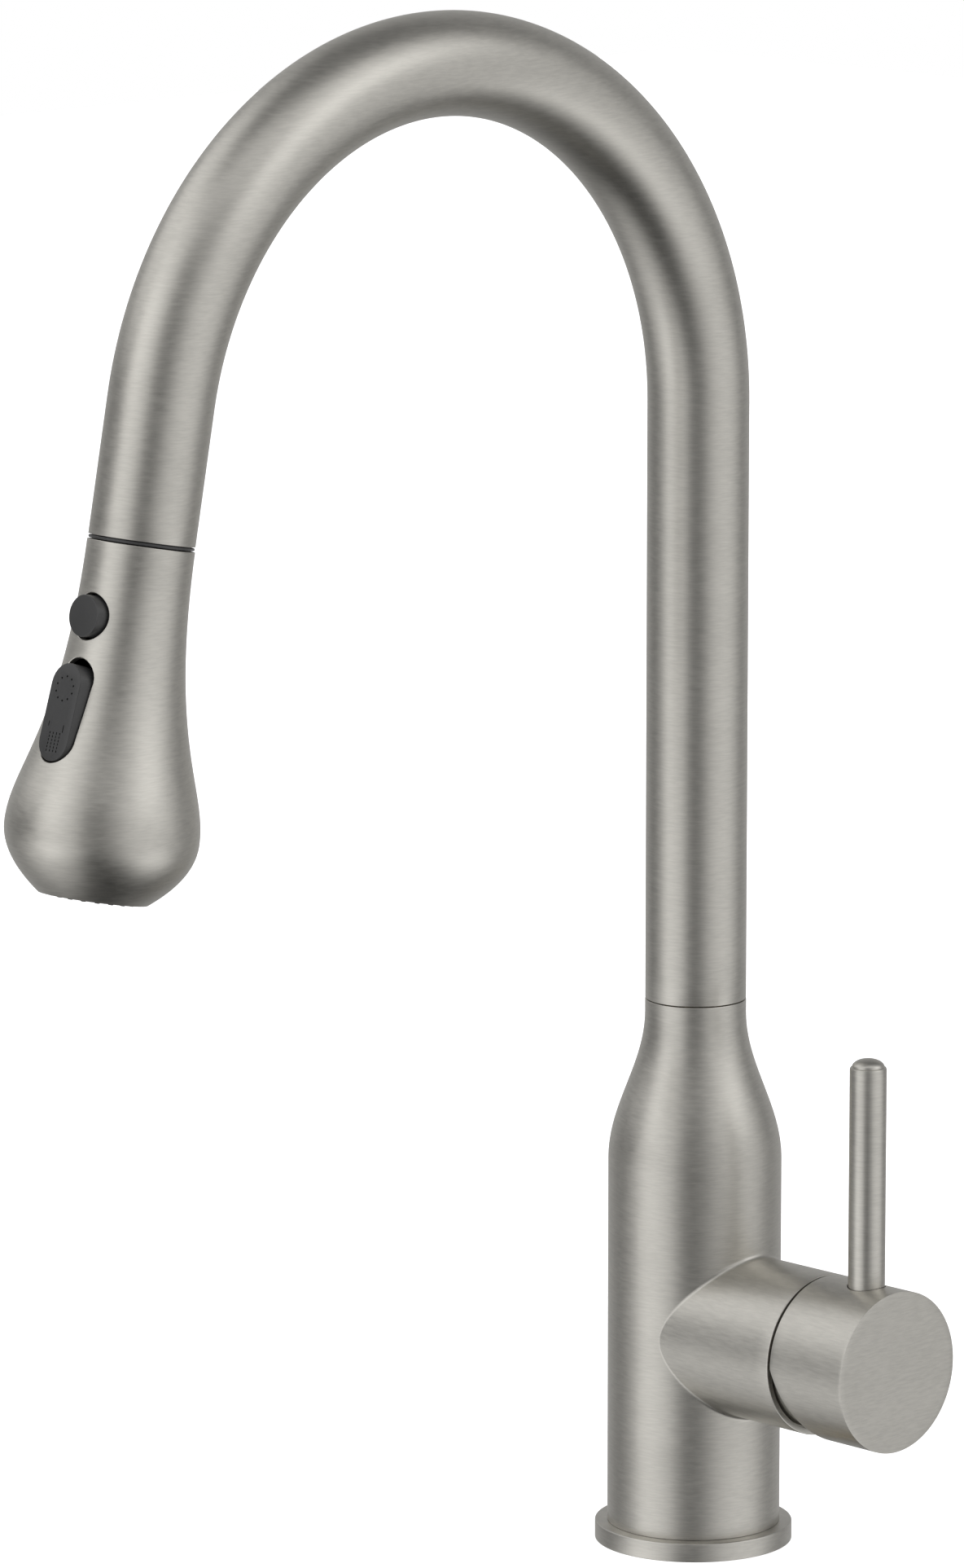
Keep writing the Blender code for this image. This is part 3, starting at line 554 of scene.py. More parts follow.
def spout_line(sizes, foot):
    """(point, direction) along the spout's middle, from a height to the start of its last straight."""
    radius = sizes.arch_radius
    arch_height = high("spout_tube").z - radius - sizes.tube_radius
    up, stem = Vector((0, 0, 1)), 24
    line = [(Vector((0, 0, foot + (arch_height - foot) * i / stem)), up) for i in range(stem)]
    sweep, steps = math.pi - DOCK_TILT, 120
    for i in range(steps + 1):
        a = sweep * i / steps
        point = Vector((0, -radius + radius * math.cos(a), arch_height + radius * math.sin(a)))
        line.append((point, Vector((0, -math.sin(a), math.cos(a)))))
    return line


def shade(mesh, angle=SHARP_ANGLE):
    mesh.shade_smooth()
    mesh.set_sharp_from_angle(angle=angle)


def changed(mesh, operation, *tools):
    """The mesh after a Boolean with each tool mesh."""
    target = bpy.data.objects.new("boolean_target", mesh)
    bpy.context.scene.collection.objects.link(target)
    helpers = []
    for tool in tools:
        helper = bpy.data.objects.new("boolean_tool", tool)
        bpy.context.scene.collection.objects.link(helper)
        helpers.append(helper)
        step = target.modifiers.new("boolean", "BOOLEAN")
        step.operation = operation
        step.solver = "EXACT"
        step.object = helper
    graph = bpy.context.evaluated_depsgraph_get()
    graph.update()
    made = bpy.data.meshes.new_from_object(target.evaluated_get(graph))
    for old in (target, *helpers):
        bpy.data.objects.remove(old, do_unlink=True)
    return made


def drilled(mesh, *tools):
    return changed(mesh, "DIFFERENCE", *tools)


def joined(mesh, *tools):
    return changed(mesh, "UNION", *tools)


def piece(name, mesh, slot, angle=SHARP_ANGLE):
    """The mesh as a piece of the scene with its slot's material."""
    mesh.materials.clear()
    mesh.materials.append(finish_of(slot))
    shade(mesh, angle)
    made = bpy.data.objects.new(name, mesh)
    bpy.context.scene.collection.objects.link(made)
    return made


def placed(made, body, *nodes):
    """The piece rides on a body and stands for these nodes."""
    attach(made, body)
    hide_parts(*nodes)
    return made


# ---------------------------------------------------------------- body


COLUMN_STEPS = 128
PATCH_HALF = 30
PATCH_ROWS = 26
PATCH_REACH = 34 * MM


def body_rows(sizes):
    """(radius, height) rows of the column up to its neck, and which of them bound the horn's patch."""
    centre = TILT_PIVOT.z
    foot = low("faucet_body").z - 0.2 * MM
    patch = [centre - PATCH_REACH + 2 * PATCH_REACH * i / PATCH_ROWS for i in range(PATCH_ROWS + 1)]
    straight = [foot, 15 * MM, 22 * MM, *patch, 102 * MM, 107 * MM]
    rows = [(sizes.body_radius, height) for height in straight]
    neck_radius, shoulder = 14.55 * MM, 156.3 * MM
    rows += bezier(
        (sizes.body_radius, 112.9 * MM),
        (sizes.body_radius, 128.6 * MM),
        (neck_radius, 140.2 * MM),
        (neck_radius, shoulder),
        36,
    )
    first = straight.index(patch[0])
    return rows, first, first + PATCH_ROWS


def horn_contact(angle, sizes):
    """The fillet's rolling ball at this angle round the horn: its centre and its touch on the column."""
    fillet = sizes.horn_fillet
    across = (sizes.horn_radius + fillet) * math.sin(angle)
    rise = (sizes.horn_radius + fillet) * math.cos(angle)
    out = math.sqrt((sizes.body_radius + fillet) ** 2 - across**2)
    back = sizes.body_radius / (sizes.body_radius + fillet)
    return Vector((out, across, rise)), Vector((out * back, across * back, rise))


def unrolled(point, sizes):
    """A point of the column's surface as (distance round, height above the horn's axis)."""
    return Vector((sizes.body_radius * math.atan2(point.y, point.x), point.z))


def angle_towards(aim, sizes):
    """The angle round the horn whose touch point lies in this direction on the unrolled column."""
    wanted = abs(math.atan2(aim.x, aim.y))
    lowest, highest = 0.0, math.pi
    for _ in range(40):
        middle = (lowest + highest) / 2
        touch = unrolled(horn_contact(middle, sizes)[1], sizes)
        if math.atan2(touch.x, touch.y) < wanted:
            lowest = middle
        else:
            highest = middle
    return math.copysign(lowest, aim.x)


def column_point(around, rise, sizes):
    angle = around / sizes.body_radius
    return (sizes.body_radius * math.cos(angle), sizes.body_radius * math.sin(angle), TILT_PIVOT.z + rise)


def body_mesh(sizes):
    build = Build()
    rows, first, last = body_rows(sizes)
    step = 2 * math.pi / COLUMN_STEPS
    grid = []
    for i, (radius, height) in enumerate(rows):
        ring = {}
        for column in range(-COLUMN_STEPS // 2, COLUMN_STEPS // 2):
            if first < i < last and abs(column) < PATCH_HALF:
                continue
            point = (radius * math.cos(column * step), radius * math.sin(column * step), height)
            ring[column] = build.shape.verts.new(point)
        grid.append(ring)
    for i in range(len(rows) - 1):
        for column in range(-COLUMN_STEPS // 2, COLUMN_STEPS // 2):
            if first <= i < last and -PATCH_HALF <= column < PATCH_HALF:
                continue
            beside = column + 1 if column + 1 < COLUMN_STEPS // 2 else -COLUMN_STEPS // 2
            build.shape.faces.new(
                (grid[i][column], grid[i][beside], grid[i + 1][beside], grid[i + 1][column])
            )
    add_horn(build, grid, first, last, sizes)
    everyone = range(-COLUMN_STEPS // 2, COLUMN_STEPS // 2)
    add_neck_bore(build, [grid[-1][column] for column in everyone], sizes)
    add_foot_bore(build, [grid[0][column] for column in everyone])
    return drilled(build.mesh("faucet_body"), waterway_cutters())


def add_horn(build, grid, first, last, sizes):
    """The horn: rings from the patch's border over the fillet and along the horn to its stepped bore."""
    border = [(last, column) for column in range(-PATCH_HALF, PATCH_HALF + 1)]
    border += [(row, PATCH_HALF) for row in range(last - 1, first, -1)]
    border += [(first, column) for column in range(PATCH_HALF, -PATCH_HALF - 1, -1)]
    border += [(row, -PATCH_HALF) for row in range(first + 1, last)]
    rows = [[grid[row][column] for row, column in border]]
    edges = [unrolled(vert.co - Vector((0, 0, TILT_PIVOT.z)), sizes) for vert in rows[0]]
    angles = [angle_towards(edge, sizes) for edge in edges]
    touches = [unrolled(horn_contact(angle, sizes)[1], sizes) for angle in angles]
    spread = 9
    for i in range(1, spread + 1):
        share_in = 1 - (1 - i / spread) ** 1.5
        points = [edge.lerp(touch, share_in) for edge, touch in zip(edges, touches)]
        rows.append(build.ring([column_point(point.x, point.y, sizes) for point in points]))
    up = Vector((0, 0, TILT_PIVOT.z))
    arc = 8
    balls = [horn_contact(angle, sizes) for angle in angles]
    landings = []
    for i in range(1, arc + 1):
        points = []
        for angle, (centre, touch) in zip(angles, balls):
            level = (sizes.horn_radius * math.sin(angle), sizes.horn_radius * math.cos(angle))
            landing = Vector((centre.x, *level))
            away = (touch - centre).normalized().slerp((landing - centre).normalized(), i / arc)
            points.append(centre + away * sizes.horn_fillet + up)
            landings.append(landing.x)
        rows.append(build.ring(points))
    straight = 8
    starts = [centre.x for centre, _ in balls]

    def horn_ring(radius, places):
        return build.ring(
            [
                Vector((x, radius * math.sin(angle), radius * math.cos(angle))) + up
                for angle, x in zip(angles, places)
            ]
        )

    end = sizes.horn_end
    for i in range(1, straight + 1):
        along = i / straight
        rows.append(horn_ring(sizes.horn_radius, [x + (end - sizes.edge - x) * along for x in starts]))
    bore = millimetres(
        [(21.6, 52.3, 0.2), (21.6, 50.3), (19.9, 50.3), (19.9, 42.0), (17.8, 42.0), (17.8, 16.0), (6.0, 16.0)]
    )
    corner = [(sizes.horn_radius, end - sizes.edge), (sizes.horn_radius, end, sizes.edge), *bore]
    for radius, x in rounded(corner, closed=False)[1:]:
        rows.append(horn_ring(radius, [x] * len(angles)))
    for one, two in zip(rows, rows[1:]):
        build.bridge(one, two)
    build.cap(rows[-1])


def add_neck_bore(build, rim, sizes):
    edge = 0.25 * MM
    rows = [rim]
    bore = millimetres(
        [(12.7, 160.0, 0.2), (12.7, 112.0), (16.0, 112.0), (22.0, 100.0), (22.0, 88.0), (14.0, 88.0)]
    )
    neck = [(14.55 * MM, sizes.neck_top - 2 * edge), (14.55 * MM, sizes.neck_top, edge), *bore]
    for radius, height in rounded(neck, closed=False):
        angles = [2 * math.pi * i / COLUMN_STEPS - math.pi for i in range(COLUMN_STEPS)]
        rows.append(build.ring([(radius * math.cos(a), radius * math.sin(a), height) for a in angles]))
    for one, two in zip(rows, rows[1:]):
        build.bridge(one, two)
    build.cap(rows[-1])


def add_foot_bore(build, rim):
    rows = [rim]
    for radius, height in millimetres([(16.8, 5.6), (16.8, 16.0), (22.0, 16.0), (22.0, 42.0)]):
        angles = [2 * math.pi * i / COLUMN_STEPS - math.pi for i in range(COLUMN_STEPS)]
        rows.append(build.ring([(radius * math.cos(a), radius * math.sin(a), height) for a in angles]))
    for one, two in zip(rows, rows[1:]):
        build.bridge(one, two)
    build.cap(rows[-1])


def waterway_cutters():
    """The hose's channel up through the body's block."""
    hose = rods("hose_channel", [((-6.5 * MM, 0, 41 * MM), (-6.5 * MM, 0, 89 * MM))], 7.8 * MM)
    return hose


# ---------------------------------------------------------------- spray head outline


def head_outline():
    """The shell's outside from the dock to the spray face's edge, as (radius, distance down)."""
    neck = bezier((14.6, 1.3), (14.6, 54.0), (26.4, 63.6), (26.4, 79.0), 56)
    under = bezier((26.4, 79.0), (26.4, 87.9), (18.3, 94.3), (14.9, 97.0), 26)
    return millimetres([*neck, *under[1:]])


HEAD_OUTLINE = head_outline()


def head_radius(down):
    """The shell's radius at a distance down the axis."""
    for (r0, s0), (r1, s1) in zip(HEAD_OUTLINE, HEAD_OUTLINE[1:]):
        if s0 <= down <= s1:
            return r0 + (r1 - r0) * (down - s0) / (s1 - s0)
    return HEAD_OUTLINE[0][0] if down < HEAD_OUTLINE[0][1] else HEAD_OUTLINE[-1][0]


def shell_rise(place, across, along):
    """How far out of an opening's frame the shell's surface is, over this point of the frame's XY plane."""
    to_dock = DOCK.inverted() @ place
    inner, outer = 0.0, 30 * MM
    for _ in range(40):
        middle = (inner + outer) / 2
        point = to_dock @ Vector((across, along, middle))
        if math.hypot(point.x, point.y) < head_radius(-point.z):
            inner = middle
        else:
            outer = middle
    return inner


def stadium(half_width, bottom, top, steps=14):
    """An oblong with round ends: its points with the outward direction at each."""
    points = []
    for centre, start in ((top - half_width, 0.0), (bottom + half_width, math.pi)):
        for i in range(steps + 1):
            angle = start + math.pi * i / steps
            out = Vector((math.cos(angle), math.sin(angle)))
            points.append((Vector((0, centre)) + out * half_width, out))
    return points


def round_plan(radius, steps=56):
    outs = [Vector((math.cos(a), math.sin(a))) for a in (2 * math.pi * i / steps for i in range(steps))]
    return [(out * radius, out) for out in outs]


def rim_cutter(name, plan, place, depth):
    """A cutter for an opening in the shell, which leaves a soft edge that follows the shell's surface."""
    lip = 0.35 * MM
    levels = [(0.0, -depth)]
    for degrees in (0, 20, 40, 60):
        a = math.radians(degrees)
        levels.append((lip * (1 - math.cos(a)), lip * (math.sin(a) - 1)))
    offset, rise = levels[-1]
    levels.append((offset + 0.35 * MM, rise + 0.2 * MM))
    levels.append((offset + 0.35 * MM, rise + 3.0 * MM))
    build = Build()
    rings = []
    for offset, rise in levels:
        ring = []
        for point, out in plan:
            spot = point + out * offset
            ring.append((spot.x, spot.y, shell_rise(place, spot.x, spot.y) + rise))
        rings.append(ring)
    build.sweep(rings)
    return build.mesh(name, place)


def inset_outline(outline, depth):
    """The outline moved towards the axis by `depth`, square to its own slope."""
    moved = []
    for i, (radius, down) in enumerate(outline):
        before, after = outline[max(i - 1, 0)], outline[min(i + 1, len(outline) - 1)]
        along = Vector((after[0] - before[0], after[1] - before[1])).normalized()
        moved.append((radius - along.y * depth, down + along.x * depth))
    return moved


def down_dock(outline):
    """(radius, distance down) as (radius, height in the dock's frame)."""
    return [(point[0], -point[1], *point[2:]) for point in outline]


# ---------------------------------------------------------------- operators


class PieceOperator:
    """What every operator here shares."""

    bl_options = {"REGISTER", "UNDO"}

    @property
    def sizes(self):
        return bpy.context.scene.faucet_sizes

    @property
    def finish(self):
        return bpy.context.scene.faucet_finish


class FAUCET_OT_finishes(PieceOperator, bpy.types.Operator):
    """Makes the faucet's materials"""

    bl_idname = "faucet.finishes"
    bl_label = "Finishes"

    def execute(self, context):
        made = make_finishes(self.finish)
        if set(made) != {row["slot"] for row in frame["record"]["materials"]}:
            raise RuntimeError("a material slot of the record has no finish")
        for material in made.values():
            material.use_fake_user = True
        return {"FINISHED"}


class FAUCET_OT_inner_parts(PieceOperator, bpy.types.Operator):
    """Gives every node that is kept from the frame its finish"""

    bl_idname = "faucet.inner_parts"
    bl_label = "Inner Parts"

    def execute(self, context):
        for node in frame["nodes"].values():
            slot = node.data.materials[0].name.split(".")[0]
            node.data.materials[0] = finish_of(slot)
        return {"FINISHED"}


class FAUCET_OT_base(PieceOperator, bpy.types.Operator):
    """Makes the flange that hides the hole in the deck"""

    bl_idname = "faucet.base"
    bl_label = "Base Flange"

    def execute(self, context):
        radius, top = self.sizes.flange_radius, self.sizes.flange_height
        groove = millimetres([(23.5, 0.0), (23.5, 2.5), (18.5, 2.5), (18.5, 0.0), (17.1, 0.0)])
        outline = [(17.1 * MM, top), (radius, top, 0.55 * MM), (radius, 0.0, 0.25 * MM), *groove]
        mesh = lathe("base_flange", rounded(outline), steps=160)
        placed(piece("base_flange_shell", mesh, "brushed_nickel"), "body", "base_flange")
        return {"FINISHED"}


class FAUCET_OT_body(PieceOperator, bpy.types.Operator):
    """Makes the column with its neck and horn as one filleted casting"""

    bl_idname = "faucet.body"
    bl_label = "Body"

    def execute(self, context):
        mesh = body_mesh(self.sizes)
        placed(piece("faucet_body_shell", mesh, "brushed_nickel"), "body", "faucet_body")
        heights = [2.3, 3.5, 5.0, 6.5, 8.0, 9.5, 11.0, 12.0]
        outside = [(math.sqrt(21.3**2 - h * h), 48 + h) for h in reversed(heights)]
        inside = [(math.sqrt(19.8**2 - h * h), 48 + h) for h in heights]
        dome = lathe("bonnet", millimetres([*outside, *inside]), HORN)
        placed(piece("bonnet_dome", dome, "brushed_nickel"), "body", "bonnet")
        return {"FINISHED"}


class FAUCET_OT_handle(PieceOperator, bpy.types.Operator):
    """Makes the handle's cap and its pin lever"""

    bl_idname = "faucet.handle"
    bl_label = "Handle"

    def execute(self, context):
        self.make_cap()
        self.make_lever()
        return {"FINISHED"}

    def make_cap(self):
        radius, edge = self.sizes.horn_radius, self.sizes.edge
        start, end = 53.2 * MM, high("handle_cap").x
        wall, hub, hub_start = 1.4 * MM, 8.5 * MM, 64.5 * MM
        floor = end - 2 * MM
        straight = [start + 2 * MM + (end - start - 3 * MM) * i / 10 for i in range(11)]
        outline = [
            (0, end),
            (radius * 0.5, end),
            (radius - 2 * MM, end),
            (radius, end, edge / 4),
            *[(radius, height) for height in reversed(straight)],
            (radius, start, 0.25 * MM),
            (radius - wall, start, 0.2 * MM),
            (radius - wall, start + 2 * MM),
            (radius - wall, floor),
            (hub, floor),
            (hub, hub_start),
            (0, hub_start),
        ]
        slope, reach = math.tan(math.radians(22)), end - 4 * MM - start

        def cut_back(point):
            """Pulls the lower half of the rim back along the plane that lets the cap tilt."""
            share_left = min(1.0, max(0.0, 1 - (point.z - start) / reach))
            return point + Vector((0, 0, max(0.0, point.x) * slope * share_left))

        mesh = lathe("handle_cap", rounded(outline, closed=False), HORN, 160, cut_back)
        lever, screw = 68.7 * MM, 70.0 * MM
        bores = rods("lever_hole", [((-25 * MM, 0, lever), (-8.0 * MM, 0, lever))], 5.55 * MM, HORN, 48)
        threads = rods("key_hole", [((8.0 * MM, 0, screw), (25 * MM, 0, screw))], 2.6 * MM, HORN, 32)
        half = 4.1 * MM
        socket = boxes("stem_bore", [((-half, -half, 63 * MM), (half, half, 74.3 * MM))], HORN)
        mesh = drilled(mesh, bores, threads, socket)
        placed(piece("handle_cap_shell", mesh, "brushed_nickel"), "handle", "handle_cap")

    def make_lever(self):
        radius = self.sizes.lever_radius
        top, dome = high("handle_lever").z, 2.4 * MM
        foot, thread_foot, thread = 73.3 * MM, 69.4 * MM, 2.5 * MM
        flat = radius - 0.6 * MM
        arc = [
            (flat * math.sin(a), top - dome + dome * math.cos(a))
            for a in (math.pi / 2 * i / 14 for i in range(15))
        ]
        side = top - dome
        outline = [
            *arc,
            (radius - 0.2 * MM, side - 0.12 * MM),
            (radius, side - 0.6 * MM),
            (radius, (side + foot) / 2),
            (radius, foot),
            (thread, foot),
            (thread, thread_foot),
            (0, thread_foot),
        ]
        mesh = lathe("handle_lever", outline, Matrix.Translation((68.7 * MM, 0, 0)), 72)
        placed(piece("pin_lever", mesh, "brushed_nickel"), "handle", "handle_lever")


class FAUCET_OT_spout(PieceOperator, bpy.types.Operator):
    """Makes the gooseneck tube, its dock lip and the parts that show when the spray head is pulled out"""

    bl_idname = "faucet.spout"
    bl_label = "Spout"

    def execute(self, context):
        self.make_tube()
        self.make_dock()
        return {"FINISHED"}

    def make_tube(self):
        outer, wall, edge = self.sizes.tube_radius, 1.0 * MM, 0.12 * MM
        line = spout_line(self.sizes, low("spout_tube").z - 0.2 * MM)
        end, rows, steps = line[-1][0], 5, 96
        line += [(end.lerp(DOCK_POINT, i / rows), DOCK_DOWN) for i in range(1, rows + 1)]

        def ring(point, direction, radius, shift=0.0):
            side = Vector((1, 0, 0))
            out = direction.cross(side)
            centre = point + direction * shift
            angles = (2 * math.pi * i / steps for i in range(steps))
            return [centre + (side * math.cos(a) + out * math.sin(a)) * radius for a in angles]

        first, last = line[0], line[-1]
        rings = [ring(*first, outer - edge), ring(*first, outer - edge * 0.3, edge * 0.3)]
        rings.append(ring(*first, outer, edge))
        rings += [ring(*spot, outer) for spot in line[1:-1]]
        rings += [ring(*last, outer, -edge), ring(*last, outer - edge * 0.3, -edge * 0.3)]
        rings.append(ring(*last, outer - edge))
        rings += [ring(*spot, outer - wall) for spot in reversed(line)]
        build = Build()
        build.sweep(rings, closed=True)
        mesh = build.mesh("spout_tube")
        placed(piece("gooseneck_tube", mesh, "brushed_nickel"), "spout", "spout_tube")

    def make_dock(self):
        sleeve = [
            (13.2, -26),
            (13.2, -9),
            (12.0, -9),
            (12.0, -3),
            (13.2, -3),
            (13.2, 0.3),
            (14.35, 0.3, 0.15),
            (14.35, 1.0, 0.2),
            (11.1, 1.0, 0.5),
            (11.1, -26),
        ]
        mesh = lathe("dock_bushing", rounded(millimetres(down_dock(sleeve))), DOCK)
        placed(piece("dock_sleeve", mesh, "dark_grey_plastic"), "spout", "dock_bushing")
        magnet = millimetres(down_dock([(13.1, -8.7, 0.3), (13.1, -3.3, 0.3), (12.3, -3.3), (12.3, -8.7)]))
        mesh = lathe("dock_magnet", rounded(magnet), DOCK)
        placed(piece("dock_magnet_ring", mesh, "magnet"), "spout", "dock_magnet")


class FAUCET_OT_hose(PieceOperator, bpy.types.Operator):
    """Makes the pull-down hose, its end nut and its ferrule"""

    bl_idname = "faucet.hose"
    bl_label = "Hose"

    def execute(self, context):
        self.make_fixed_runs()
        self.make_stretch()
        self.make_end()
        return {"FINISHED"}

    def make_fixed_runs(self):
        """The runs through the body and round the spout, which stay where they are."""
        top, foot = high("hose_in_body").z, low("hose_in_body").z
        place, turn, straight = -6.5 * MM, 0.1, 0.06
        bend = bezier((0, 0, top), (0, 0, turn + 0.01), (place, 0, turn), (place, 0, straight), 24)
        points = [Vector(point) for point in bend]
        points += [Vector((place, 0, straight + (foot - straight) * i / 8)) for i in range(1, 9)]
        line = directed(points)
        mesh = hose_mesh("hose_in_body", line, run_lengths(line), self.sizes.hose_radius)
        placed(piece("hose_below", mesh, "grey_braided_nylon"), "body", "hose_in_body")
        line = spout_line(self.sizes, top + 0.3 * MM)
        line.append((DOCK_POINT - DOCK_DOWN * 36.5 * MM, DOCK_DOWN))
        mesh = hose_mesh("hose_in_spout", line, run_lengths(line), self.sizes.hose_radius)
        placed(piece("hose_in_arch", mesh, "grey_braided_nylon"), "spout", "hose_in_spout")

    def make_stretch(self):
        """The run that pulls out. Its weave is sized for the pulled-out length."""
        start, end, rows = 36.4 * MM, 29.1 * MM, 72
        reach = JOINTS["head_pull"]["range_m"][1]
        down = Vector((0, 0, -1))
        line, along = [], []
        for i in range(rows + 1):
            t = i / rows
            line.append((Vector((0, 0, start + (end - start) * t)), down))
            along.append((start - end) * t + reach * t * t * (3 - 2 * t))
        mesh = hose_mesh("hose_stretch", line, along, self.sizes.hose_radius, DOCK)
        made = piece("hose_that_pulls_out", mesh, "grey_braided_nylon")
        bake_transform(made)
        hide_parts("hose_stretch")

    def make_end(self):
        collar = [(6.6, -29.3, 0.3), (6.6, -24.0), (8.4, -24.0, 0.2), (8.4, -21.4, 0.2)]
        ferrule = [*collar, (3.5, -21.4), (3.5, -29.3)]
        mesh = lathe("hose_ferrule", rounded(millimetres(down_dock(ferrule))), DOCK)
        placed(piece("crimped_ferrule", mesh, "stainless_steel"), "hose_end", "hose_ferrule")
        outline = [
            (9.4, -27.8, 0.2),
            (10.6, -26.6, 0.3),
            (10.6, -9.6, 0.5),
            (8.7, -9.6),
            (8.7, -24.3),
            (6.9, -24.3),
            (6.9, -27.8, 0.2),
        ]
        flat = 9.75 * MM

        def flatten(point):
            """Cuts six flats on the nut's side."""
            wide = math.hypot(point.x, point.y)
            turn = math.atan2(point.y, point.x) % (math.pi / 3) - math.pi / 6
            share_kept = min(1.0, flat / math.cos(turn) / wide)
            return Vector((point.x * share_kept, point.y * share_kept, point.z))

        mesh = lathe("hose_nut", rounded(millimetres(down_dock(outline))), DOCK, 120, flatten)
        placed(piece("hose_end_nut", mesh, "cast_brass"), "hose_end", "hose_nut")


class FAUCET_OT_clamp(PieceOperator, bpy.types.Operator):
    """Makes the threaded shank, its washers and nut, and the tube ends below the deck"""

    bl_idname = "faucet.clamp"
    bl_label = "Clamp and Tube Ends"

    def execute(self, context):
        self.make_clamp()
        self.make_tube_ends()
        return {"FINISHED"}

    def make_clamp(self):
        radius, bore = 16.5 * MM, 14.7 * MM
        top, foot = high("threaded_shank").z, low("threaded_shank").z
        mesh = threaded("threaded_shank", radius, bore, top, -3 * MM, foot, 1.5 * MM, 0.8 * MM)
        placed(piece("shank", mesh, "cast_brass"), "body", "threaded_shank")
        hole = radius + 0.4 * MM
        for name, slot, wide, edge in (
            ("rubber_washer", "black_rubber", 26.0 * MM, 0.5 * MM),
            ("steel_washer", "stainless_steel", 27.0 * MM, 0.25 * MM),
        ):
            upper, lower = high(name).z, low(name).z
            outline = [(hole, upper, edge), (wide, upper, edge), (wide, lower, edge), (hole, lower, edge)]
            mesh = lathe(name, rounded(outline), steps=128)
            placed(piece("clamp_" + name, mesh, slot), "body", name)
        upper, lower = high("mounting_nut").z, low("mounting_nut").z
        across = 2 * 24.5 * MM * math.cos(math.pi / 6)
        mesh = hexagon_nut("mounting_nut", across, hole, lower, upper)
        placed(piece("clamp_nut", mesh, "cast_brass"), "body", "mounting_nut")

    def make_tube_ends(self):
        for name, radius, wide, edge in (
            ("hot_supply_stub", 4.0, 6.0, -80.0),
            ("cold_supply_stub", 4.0, 6.0, -80.0),
            ("outlet_stub", 3.6, 5.0, -62.0),
        ):
            lowest, highest = low(name), high(name)
            top, foot, bore = highest.z / MM, lowest.z / MM, 2.8
            side = grooves(wide, 0.45, edge - 4.5, foot + 0.6, 1.0)
            shoulder = [(radius, edge), (wide, edge - 1.0, 0.3), (wide, edge - 4.0)]
            outline = [(bore, top), (radius, top), *shoulder, *side, (wide - 0.5, foot), (bore, foot)]
            place = Matrix.Translation(((lowest.x + highest.x) / 2, (lowest.y + highest.y) / 2, 0))
            mesh = lathe(name, rounded(millimetres(outline)), place, 72)
            placed(piece(name + "_tube", mesh, "cast_brass"), "body", name)
        lowest, highest = low("hose_coupling"), high("hose_coupling")
        top, foot = highest.z / MM, lowest.z / MM
        grip = grooves(7.5, 0.35, top - 4, foot + 4, 1.2)
        side = [(7.0, top, 0.3), (7.5, top - 3, 0.3), *grip, (7.5, foot, 0.6)]
        mesh = lathe(
            "hose_coupling",
            rounded(millimetres([(3.5, top), *side, (3.5, foot)])),
            Matrix.Translation(((lowest.x + highest.x) / 2, 0, 0)),
            72,
        )
        placed(piece("coupling", mesh, "cast_brass"), "body", "hose_coupling")


class FAUCET_OT_head(PieceOperator, bpy.types.Operator):
    """Makes the spray head's shell with its two openings"""

    bl_idname = "faucet.head"
    bl_label = "Spray Head"

    def execute(self, context):
        wall, top, face = 1.8 * MM, 1.3 * MM, 97.0 * MM
        outer = list(HEAD_OUTLINE)
        mouth = 14.7 * MM
        inner = [p for p in inset_outline(outer[2:], wall) if p[0] > mouth or p[1] < 79 * MM][::2]
        rim = [(outer[0][0] - wall, top), (outer[0][0], top, 0.22 * MM)]
        lip = [(outer[-1][0], face, 0.1 * MM), (mouth, face), (mouth, face - 2 * MM)]
        outline = [*rim, *outer[1:-1], *lip, *inner[::-1]]
        mesh = lathe("head_shell", rounded(down_dock(outline)), DOCK, 144)
        button = rim_cutter("button_opening", round_plan(6.3 * MM), BUTTON, 6 * MM)
        rocker = rim_cutter("rocker_opening", stadium(6.1 * MM, -15.3 * MM, 13.85 * MM), ROCKER, 8 * MM)
        mesh = drilled(mesh, button, rocker)
        shell = piece("spray_head_shell", mesh, "brushed_nickel", math.radians(20))
        placed(shell, "spray_head", "head_shell")
        strike = millimetres(down_dock([(12.6, 2.0), (12.6, 5.0), (11.2, 5.0), (11.2, 2.0)]))
        ring = lathe("head_strike_ring", strike, DOCK)
        placed(piece("strike_ring", ring, "stainless_steel"), "spray_head", "head_strike_ring")
        return {"FINISHED"}


